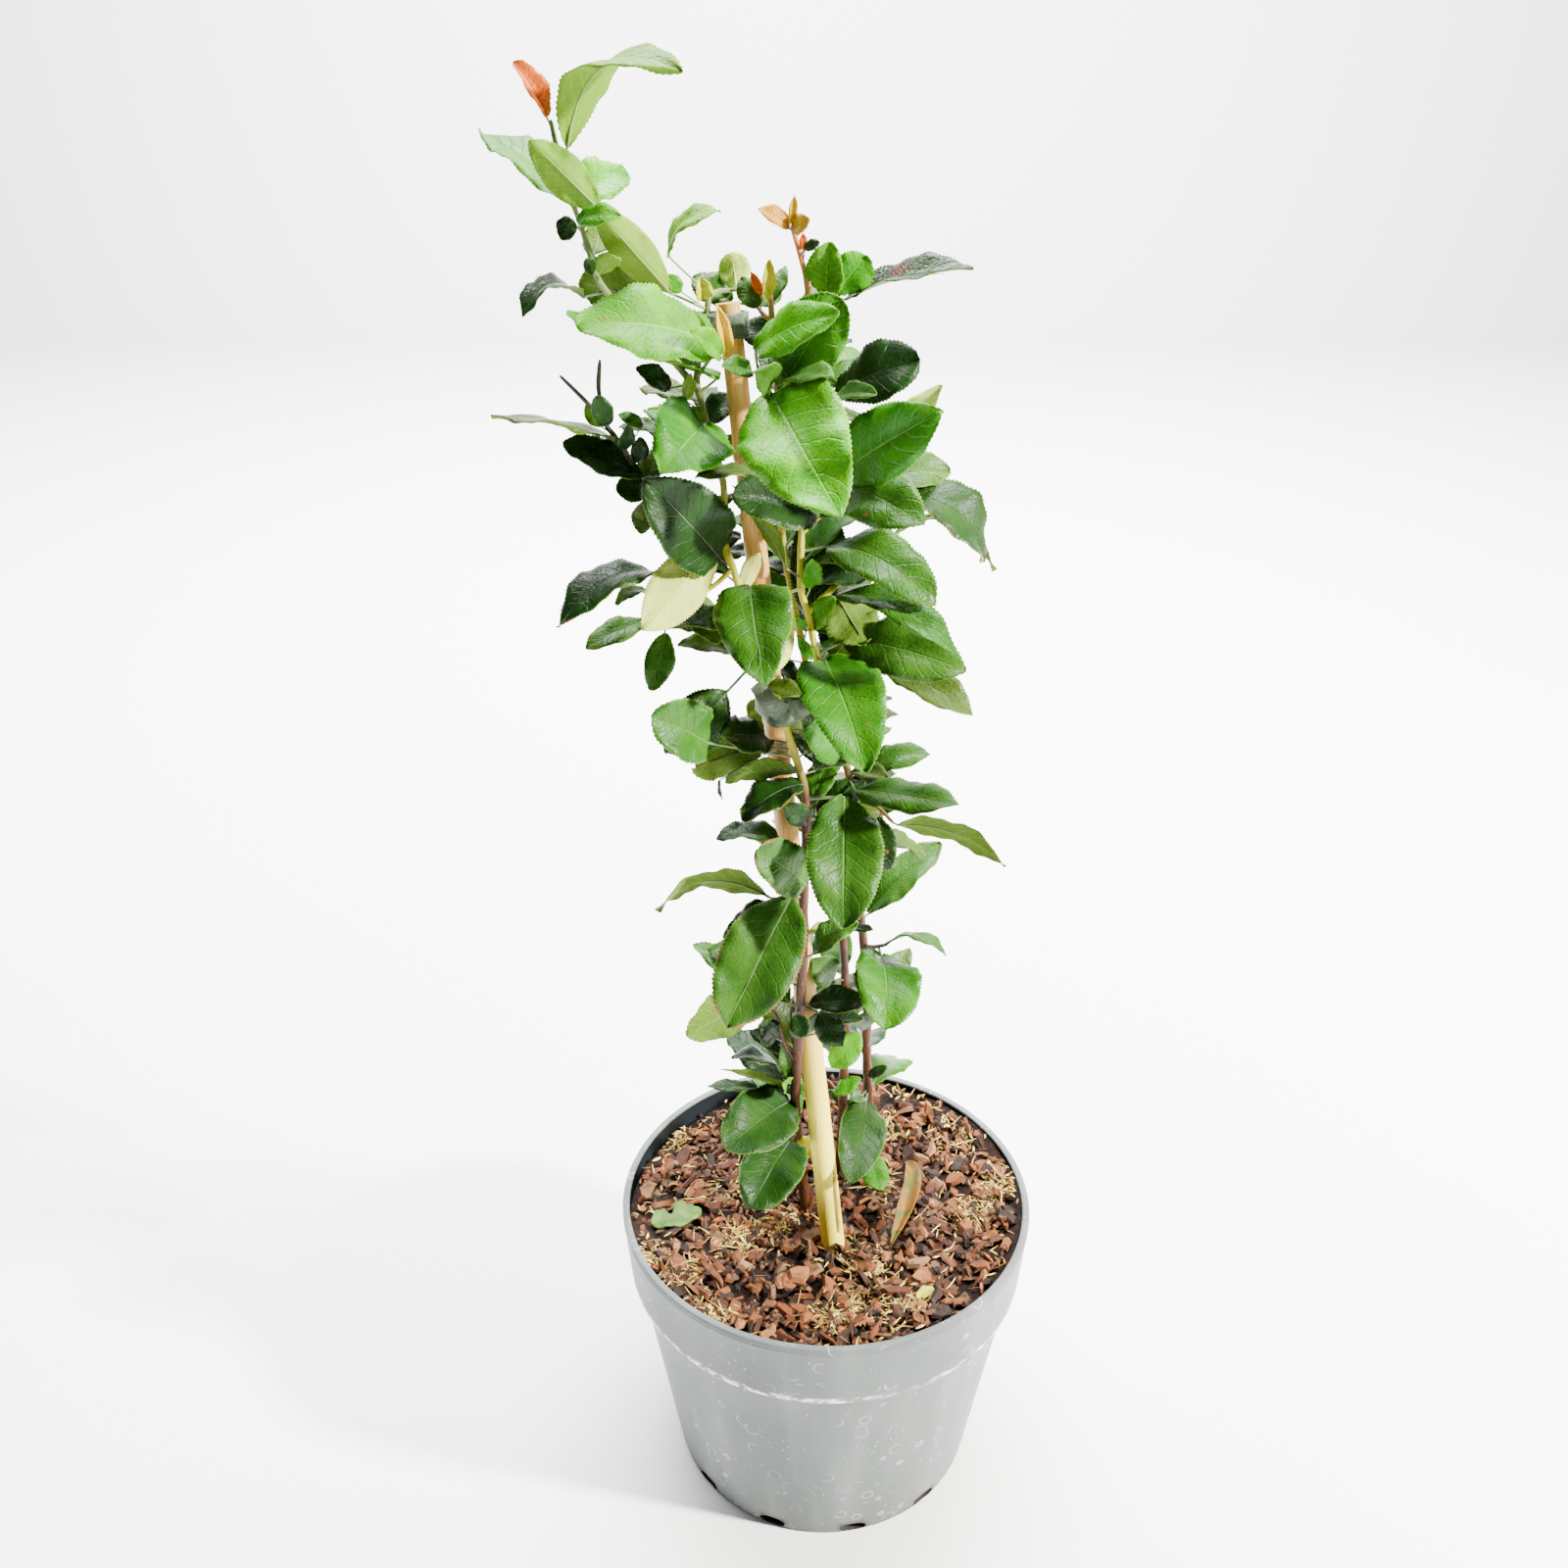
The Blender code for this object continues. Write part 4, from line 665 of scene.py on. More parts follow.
def rolled(name, route, radii, sides):
    """A closed tube: a grid rolled up along a route, with a radius at each of its points."""
    deselect_all()
    bpy.ops.mesh.primitive_grid_add(x_subdivisions=sides, y_subdivisions=len(route) - 1, size=1)
    piece = bpy.context.object
    piece.name = name
    spine = np.array([tuple(point) for point in route])
    heading = np.gradient(spine, axis=0)
    heading /= np.linalg.norm(heading, axis=1)[:, None]
    side = np.zeros_like(spine)
    side[0] = np.array(Vector(heading[0]).orthogonal().normalized())
    for place in range(1, len(spine)):
        carried = side[place - 1] - heading[place] * side[place - 1].dot(heading[place])
        side[place] = carried / np.linalg.norm(carried)
    other = np.cross(heading, side)
    angle = np.linspace(0, 2 * math.pi, sides + 1)[None, :, None]
    reach = np.asarray(radii, dtype=float)
    reach = reach[:, None, None] if reach.ndim == 1 else reach[:, :, None]
    points = spine[:, None] + (side[:, None] * np.cos(angle) + other[:, None] * np.sin(angle)) * reach
    piece.data.vertices.foreach_set("co", points.reshape(-1).astype(np.float32))
    bpy.ops.object.mode_set(mode="EDIT")
    bpy.ops.mesh.select_all(action="SELECT")
    bpy.ops.mesh.remove_doubles(threshold=1e-6)
    bpy.ops.mesh.select_all(action="DESELECT")
    bpy.ops.mesh.select_non_manifold()
    bpy.ops.mesh.edge_face_add()
    leave_edit_mode()
    return piece


FIBRE_SWELL = 0.01
FIBRE_TAPER = (0.2, 0.7, 0.95, 1.0, 0.9, 0.6, 0.2)
fibre_models = []
for number in range(7):
    bend = draw.uniform(-0.09, 0.09)
    curl = draw.uniform(-0.08, 0.08)
    route = []
    for t in np.linspace(0, 1, len(FIBRE_TAPER)):
        rise = curl * math.sin((1.5 + number * 0.5) * t) * 0.7
        route.append(Vector((t - 0.5, bend * math.sin(math.pi * t), rise)))
    fibre = rolled("fibre", route, [FIBRE_SWELL * share for share in FIBRE_TAPER], 3)
    fibre_models.append((route, fibre.data))
    bpy.data.objects.remove(fibre)

STRAW_COLOURS = ((0.46, 0.30, 0.05), (0.58, 0.44, 0.09), (0.25, 0.13, 0.03), (0.66, 0.54, 0.15),
                 (0.13, 0.055, 0.015))
# places of the heaps of straw on the bark: column, row, spread in mm, and the way its blades point
STRAW_HEAPS = (
    (735, 1222, 9, 20), (752, 1258, 8, 60), (1012, 1222, 8, 95), (1040, 1222, 6, 80), (700, 1300, 9, 150),
    (722, 1345, 7, 160), (920, 1332, 9, 10), (868, 1330, 7, 40), (902, 1150, 7, 120), (925, 1122, 8, 100),
    (965, 1168, 9, 70), (900, 1205, 6, 30), (842, 1348, 7, 0), (990, 1245, 8, 130), (792, 1245, 6, 90),
    (690, 1160, 7, 40), (880, 1290, 8, 70), (660, 1285, 6, 100),
)
SPREAD_IN_SIGMAS = 1.4
HEAPED_SHARE = 0.72
HUSK_SHARE = 0.45
fibres = []
while len(fibres) < STRAW_FIBRES:
    column, row, spread, way = draw.choice(STRAW_HEAPS)
    spot = seen_on_bark(column, row)
    sigma = spread / 1000 / SPREAD_IN_SIGMAS
    heaped = draw.random() < HEAPED_SHARE
    x, y = spot.x + draw.gauss(0, sigma), spot.y + draw.gauss(0, sigma)
    reach = BARK_ROOM * math.sqrt(draw.random())
    angle = draw.uniform(0, 2 * math.pi)
    if not heaped:
        x, y = reach * math.cos(angle), reach * math.sin(angle)
    husk = draw.random() < HUSK_SHARE
    length = draw.uniform(0.0022, 0.005) if husk else 0.004 + 0.009 * draw.random() ** 1.6
    thick = draw.uniform(0.00036, 0.00072) if husk else draw.uniform(0.00018, 0.00038)
    heading = math.radians(way + draw.gauss(0, 42)) if heaped and not husk else draw.uniform(0, 2 * math.pi)
    tilts = (draw.uniform(-3, 3), draw.gauss(0, 0.22), heading)
    route, model = draw.choice(fibre_models)
    colour = draw.choice(STRAW_COLOURS)
    shade = draw.uniform(0.7, 1.25)
    lift = draw.uniform(0.0012, 0.0036)
    if math.hypot(x, y) + length * 0.45 > BARK_ROOM or under_shed_leaf(x, y):
        continue
    fibre = new_piece("fibre", model.copy())
    for vertex in fibre.data.vertices:
        centre = min(route, key=lambda point: abs(point.x - vertex.co.x))
        vertex.co = centre * length + (vertex.co - centre) * thick / FIBRE_SWELL
    fibre.data.transform(laid_on_bed(x, y, lift) @ Euler(tilts, "XYZ").to_matrix().to_4x4())
    paint(fibre, "straw_colour", [min(1, value * shade) for value in colour])
    fibres.append(fibre)
straw = join_pieces(fibres, "straw_fibres")
straw_finish = Finish("straw fibre", Roughness=0.75, Specular_IOR_Level=0.3)
streaks = straw_finish.place.speckle(700, 2).band(0.4, 0.7) * 0.4
straw_finish.set(Base_Color=streaks.mix(straw_finish.attribute("straw_colour"), (0.3, 0.17, 0.08)))
straw.data.materials.append(straw_finish.material)
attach(straw, "root")


# The cane
# A straight bamboo cane with a low ring at each node, split near its foot and sawn off at its top.
# It is tanned brown higher up and a bright pale yellow low down, where it stands in the light; the bright
# yellow is partly painted light.

CANE_FOOT = seen(850, 1268, -22)
CANE_TOP = seen(743, 309, -12)
CANE_RADII = (0.0057, 0.0039)
CANE_NODES = (0.262, 0.39, 0.488)
CANE_SIDES = 44
CANE_STATIONS = 260
CANE_BURIED_END = 0.024
NODE_RING = 0.00042
NODE_WAIST = 0.00022
SPLIT_DEPTH = 0.0021
SPLIT_BOTTOM = seen(857, 1264, -27).z
SPLIT_TOP = seen(849, 1200, -27).z

cane_slope = (CANE_TOP - CANE_FOOT) / (CANE_TOP.z - CANE_FOOT.z)
cane_start = CANE_FOOT + cane_slope * (CANE_BURIED_END - CANE_FOOT.z)
cane_points = [cane_start.lerp(CANE_TOP, share) for share in np.linspace(0, 1, CANE_STATIONS)]
cane_radii = np.zeros((CANE_STATIONS, CANE_SIDES + 1))
split_facing = math.radians(-48)
cane_side = Vector(cane_points[1] - cane_points[0]).orthogonal().normalized()
cane_start_angle = math.atan2(cane_side.y, cane_side.x)
for number, point in enumerate(cane_points):
    radius = CANE_RADII[0] + (CANE_RADII[1] - CANE_RADII[0]) * number / (CANE_STATIONS - 1)
    for node in CANE_NODES:
        away = (point.z - node) / 0.0022
        radius += NODE_RING * math.exp(-away * away) - NODE_WAIST * math.exp(-((away + 2.2) ** 2) / 2)
    share = (point.z - SPLIT_BOTTOM) / (SPLIT_TOP - SPLIT_BOTTOM)
    gape = max(0, 4 * share * (1 - share)) ** 0.5 * 0.34
    for side in range(CANE_SIDES + 1):
        angle = 2 * math.pi * (side % CANE_SIDES) / CANE_SIDES
        ripple = noise.noise(Vector((math.cos(angle) * 1.3, math.sin(angle) * 1.3, point.z * 14)))
        cane_radii[number, side] = radius + 0.00012 * ripple
        facing = (angle + cane_start_angle - split_facing - 0.25 * share + math.pi) % (2 * math.pi) - math.pi
        if 0 < share < 1 and abs(facing) < gape:
            cane_radii[number, side] -= SPLIT_DEPTH * (1 - abs(facing) / gape) ** 0.5
cane = rolled("bamboo_cane", cane_points, cane_radii, CANE_SIDES)
bpy.ops.object.shade_smooth_by_angle(angle=math.radians(40))

bamboo = Finish("dry bamboo", Specular_IOR_Level=0.3)
x, y, z = (bamboo.place.part(name) for name in "XYZ")
fibre_lines = bamboo.place.stretched(60, 60, 1.6).speckle(26, 4, 0.6)
mottle = bamboo.place.stretched(1, 1, 0.3).speckle(90, 4)
# partly painted light: the cane is coloured a bright pale yellow low down, where the light falls on it, and
# tanned brown above
colour = z.band(0.17, 0.30).mix((0.97, 0.82, 0.07), (0.46, 0.22, 0.05))
colour = (fibre_lines.band(0.4, 0.75) * 0.3).mix(colour, (0.94, 0.82, 0.18))
colour = (mottle.band(0.58, 0.78) * 0.35).mix(colour, (0.34, 0.20, 0.08))
pricks = bamboo.place.cells(120)
colour = ((1 - pricks.band(0.07, 0.11)) * 0.8).mix(colour, (0.16, 0.08, 0.03))
for node in CANE_NODES:
    away = (z - node) * 420
    ring = 1 - away.absolute().band(0.2, 1.0)
    colour = (ring * 0.45).mix(colour, (0.26, 0.15, 0.06))
from_axis_x = x - cane_start.x - (z - CANE_BURIED_END) * cane_slope.x
from_axis_y = y - cane_start.y - (z - CANE_BURIED_END) * cane_slope.y
from_axis = (from_axis_x * from_axis_x + from_axis_y * from_axis_y) ** 0.5
split_shade = (1 - from_axis.band(0.0040, 0.0050)) * (1 - z.band(0.178, 0.18))
colour = (split_shade * 0.85).mix(colour, (0.16, 0.09, 0.03))
bamboo.set(Base_Color=colour, Roughness=0.36 + mottle * 0.25)
bamboo.bump(fibre_lines + mottle * 0.6, 0.00022)
cane.data.materials.append(bamboo.material)
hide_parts("cane")
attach(cane, "root")


# The stems and twigs
# Three woody stems that lean in to the cane, with their side twigs and spurs. The bark is red-brown
# low down, with pale breathing pores, and yellow-green to orange on the year's growth above.

ROOT_DEPTH = 0.052
STEM_SPACING = 0.019

stem_picks = {
    "stem_left": (
        (822, 1232, 1), (812, 1140, -14), (813, 1090, -25), (816, 1040, -31), (819, 980, -32),
        (820, 920, -31), (822, 860, -28), (822, 815, -24), (815, 783, -25), (803, 745, -29),
        (790, 700, -30), (776, 665, -29), (765, 640, -27), (749, 583, -23), (739, 553, -20),
        (738, 493, -17), (727, 462, -15), (718, 420, -13), (711, 390, -12), (716, 350, -13),
        (721, 322, -13), (723, 300, -12),
    ),
    "stem_mid": (
        (857, 1197, 25), (860, 1120, 6), (863, 1040, -6), (860, 960, -6), (850, 880, -6),
        (842, 800, -6), (835, 745, -7), (818, 655, -4), (800, 560, -3), (796, 490, -4),
        (795, 430, -5), (791, 370, -5), (788, 330, -5), (786, 305, -5), (782, 282, -6),
    ),
    "stem_right": (
        (888, 1170, 45), (886, 1118, 24), (884, 1060, 5), (885, 1021, 3), (880, 950, 2),
        (872, 890, -1), (868, 802, -5), (853, 750, -8), (832, 663, -15), (825, 628, -16),
        (817, 598, -16), (818, 541, -14), (819, 480, -12), (821, 420, -12), (823, 360, -12),
        (824, 296, -12), (817, 262, -13), (811, 240, -13), (808, 229, -13),
    ),
}
stem_radii = {"stem_left": (0.0027, 0.0011), "stem_mid": (0.0024, 0.001), "stem_right": (0.0026, 0.0009)}
twig_picks = (
    ("stem_left", ((711, 398, -12), (690, 372, -14), (665, 345, -17), (636, 318, -20), (612, 288, -24),
                   (603, 262, -26), (592, 228, -27), (580, 195, -27), (571, 162, -26), (565, 138, -25),
                   (562, 122, -25)), 0.0015, 0.0008),
    ("stem_left", ((738, 522, -18), (700, 508, -18), (668, 500, -20), (655, 491, -21), (640, 466, -22),
                   (628, 446, -22), (618, 432, -22), (611, 399, -22), (612, 367, -22)), 0.0014, 0.0008),
    ("stem_left", ((618, 434, -22), (600, 412, -23), (571, 383, -24)), 0.0009, 0.0007),
    ("stem_left", ((812, 1086, -25), (799, 1062, -30), (792, 1036, -31), (775, 1018, -28)), 0.0011, 0.0008),
    ("stem_left", ((748, 580, -25), (725, 600, -27), (700, 611, -27), (678, 612, -25), (666, 604, -23)),
     0.0011, 0.0007),
    ("stem_left", ((722, 303, -12), (734, 297, -8), (750, 296, -3)), 0.0011, 0.0008),
    ("stem_mid", ((794, 415, -5), (783, 396, -6), (774, 380, -8)), 0.0012, 0.0008),
    ("stem_mid", ((788, 328, -5), (779, 321, -4), (773, 313, -3)), 0.001, 0.0008),
    ("stem_right", ((818, 545, -14), (843, 520, -14), (863, 499, -15)), 0.0013, 0.0008),
    ("stem_right", ((824, 626, -16), (846, 604, -15), (868, 586, -12), (890, 570, -9), (902, 563, -8)),
     0.0014, 0.0008),
    ("stem_right", ((824, 318, -12), (844, 304, -9), (861, 306, -5)), 0.0012, 0.0008),
    ("stem_right", ((821, 428, -12), (834, 414, -12), (848, 406, -11)), 0.0011, 0.0008),
    ("stem_right", ((820, 515, -13), (842, 496, -13), (862, 482, -13)), 0.0011, 0.0008),
    ("stem_right", ((869, 818, -5), (893, 822, -10), (912, 840, -16)), 0.0011, 0.0008),
    ("stem_right", ((880, 966, 2), (893, 966, -8), (904, 964, -15)), 0.0011, 0.0008),
)


def curve_through(points, spacing):
    """Points about one spacing apart on a smooth curve through the given points."""
    ends = [2 * points[0] - points[1]] + list(points) + [2 * points[-1] - points[-2]]
    route = [points[0].copy()]
    for before, start, end, after in zip(ends, ends[1:], ends[2:], ends[3:]):
        steps = max(1, round((end - start).length / spacing))
        for step in range(1, steps + 1):
            t = step / steps
            swing = (end - before) * t + (2 * before - 5 * start + 4 * end - after) * t ** 2
            swing += (3 * start - before - 3 * end + after) * t ** 3
            route.append(start + swing / 2)
    return route


def points_along(route):
    """Points about a millimetre apart on the straight runs of a route."""
    points = []
    for start, end in zip(route, route[1:]):
        count = math.ceil((end - start).length * 1000)
        points += [start.lerp(end, step / count) for step in range(count)]
    return points + [route[-1].copy()]


def nearest_on(routes, point):
    """The point on some routes that lies nearest to a place."""
    return min((spot for route in routes for spot in route), key=lambda spot: (spot - point).length_squared)


WOOD_COLOURS = {
    "stem_left": ((0.28, (0.052, 0.014, 0.004)), (0.36, (0.075, 0.028, 0.006)), (0.405, (0.58, 0.55, 0.01)),
                  (0.450, (0.38, 0.36, 0.015)), (0.50, (0.12, 0.15, 0.035)), (0.58, (0.10, 0.16, 0.03))),
    "stem_mid": ((0.30, (0.055, 0.015, 0.004)), (0.38, (0.12, 0.060, 0.010)), (0.43, (0.34, 0.32, 0.015)),
                 (0.52, (0.26, 0.16, 0.04))),
    "stem_right": ((0.30, (0.058, 0.015, 0.004)), (0.37, (0.16, 0.075, 0.010)), (0.40, (0.62, 0.58, 0.01)),
                   (0.46, (0.42, 0.38, 0.015)), (0.53, (0.34, 0.20, 0.05)), (0.555, (0.55, 0.17, 0.045))),
    "dead twig": ((0.0, (0.045, 0.035, 0.015)),),
}


def woody(name, route, foot_radius, top_radius, sides, kind):
    """A stem or twig along a route, swollen here and there, with a blunt tip and its wood's colours."""
    count = len(route)
    radii = []
    for place, point in enumerate(route):
        share = place / (count - 1)
        radius = foot_radius + (top_radius - foot_radius) * share
        radius *= 1 + 0.10 * noise.noise(point * 160) + 0.07 * math.sin(point.z * 420 + foot_radius * 9000)
        radii.append(radius)
    radii[-1] *= 0.6
    piece = rolled(name, route, radii, sides)
    heights = [vertex.co.z for vertex in piece.data.vertices]
    levels = [level for level, _ in WOOD_COLOURS[kind]]
    bands = zip(*(colour for _, colour in WOOD_COLOURS[kind]))
    paint(piece, "wood_colour", np.stack([np.interp(heights, levels, band) for band in bands], axis=1))
    return piece


# the share of its listed radii that a twig's wood is drawn with
TWIG_SHARE = 0.9
stem_lines = {}
wood = {}
for name, picks in stem_picks.items():
    spots = [seen(*pick) for pick in picks]
    buried = spots[0] + Vector((0.1 * (spots[0].x - spots[1].x), 0.002, -ROOT_DEPTH))
    spots = [buried, spots[0].lerp(buried, 0.4)] + spots
    stem_lines[name] = [points_along(curve_through(spots, STEM_SPACING))]
    smooth_route = curve_through(spots, 0.002)
    wood[name] = [woody(name + "_wood", smooth_route, *stem_radii[name], 14, name)]
for name, picks, foot_radius, top_radius in twig_picks:
    spots = [seen(*pick) for pick in picks]
    spots[0] = nearest_on(stem_lines[name], spots[0])
    stem_lines[name].append(points_along(curve_through(spots, STEM_SPACING)))
    kind = "dead twig" if picks[-1][0] < 615 and picks[-1][1] > 360 else name
    twig_route = curve_through(spots, 0.0015)
    wood[name].append(woody("twig", twig_route, foot_radius * TWIG_SHARE, top_radius * TWIG_SHARE, 10, kind))

young_wood = Finish("young quince wood", Specular_IOR_Level=0.35)
own = young_wood.attribute("wood_colour")
streaks = young_wood.place.stretched(1, 1, 0.16).speckle(420, 4, 0.6)
darker = own.toned(0.5, 1.0, 0.5)
colour = (streaks.band(0.45, 0.7) * 0.6).mix(own, darker)
pores = young_wood.place.stretched(1, 1, 0.6).cells(330)
colour = ((1 - pores.band(0.12, 0.2)) * 0.4).mix(colour, (0.17, 0.085, 0.030))
young_wood.set(Base_Color=colour, Roughness=0.5 + streaks * 0.2)
young_wood.bump(streaks - pores.band(0.1, 0.25) * 0.8, 0.0003)
for name in stem_picks:
    piece = join_pieces(wood[name], name + "_wood")
    bpy.ops.object.shade_smooth_by_angle(angle=math.radians(60))
    piece.data.materials.append(young_wood.material)
    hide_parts(name)
    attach(piece, "root")
    wood[name] = piece


# The leaves
# Quince leaves are leathery and finely toothed, glossy above and paler and matte below, on short
# stalks. Each grows from its own place on a stem or twig. New leaves are lime, gold or orange.

LEAF_THICKNESS = 0.00038
PETIOLE_WIDTH = 0.0018
SHORTEST_STALK = 0.0015
TOOTH = 0.00032
TOOTH_SHARE = 0.014
RIPPLE = 0.052
FRILL = 0.018
FORMS = {"oval": (0.70, 0.72), "broad": (0.46, 0.74), "spade": (0.28, 0.72), "round": (0.52, 0.52),
         "spoon": (0.95, 0.55), "long": (0.80, 0.90)}

# painted light and shade: apart from the young tones, these are mostly the one green of a grown leaf,
# painted lighter for a leaf in the light ("bright", "glossy", and "pale" and "cream" for lit undersides) and
# darker for one in shade ("deep", "dusky", "olive"); some of the spread is the leaves' own
LEAF_TONES_LIT_AND_SHADED = {
    "bright": (0.072, 0.270, 0.0), "glossy": (0.036, 0.160, 0.002), "green": (0.033, 0.108, 0.006),
    "deep": (0.007, 0.029, 0.002), "dusky": (0.013, 0.047, 0.003), "olive": (0.048, 0.084, 0.007),
    "pale": (0.11, 0.23, 0.004), "cream": (0.66, 0.78, 0.16), "lime": (0.11, 0.23, 0.004),
    "orange": (0.56, 0.080, 0.003), "gold": (0.66, 0.38, 0.004), "yellow": (0.58, 0.58, 0.006),
    "copper": (0.42, 0.20, 0.008),
}
# leaves in these tones are new, soft and even in colour
YOUNG_TONES = ("orange", "gold", "yellow", "copper", "lime")


def leaf(foot, tip, width, tone, turn=0, arch=0.08, twist=0, fold=8, form="oval", root=None):
    """One leaf's row: its blade's foot and tip in the picture with their depths, its width and its set."""
    return foot, tip, width, tone, turn, arch, twist, fold, form, root
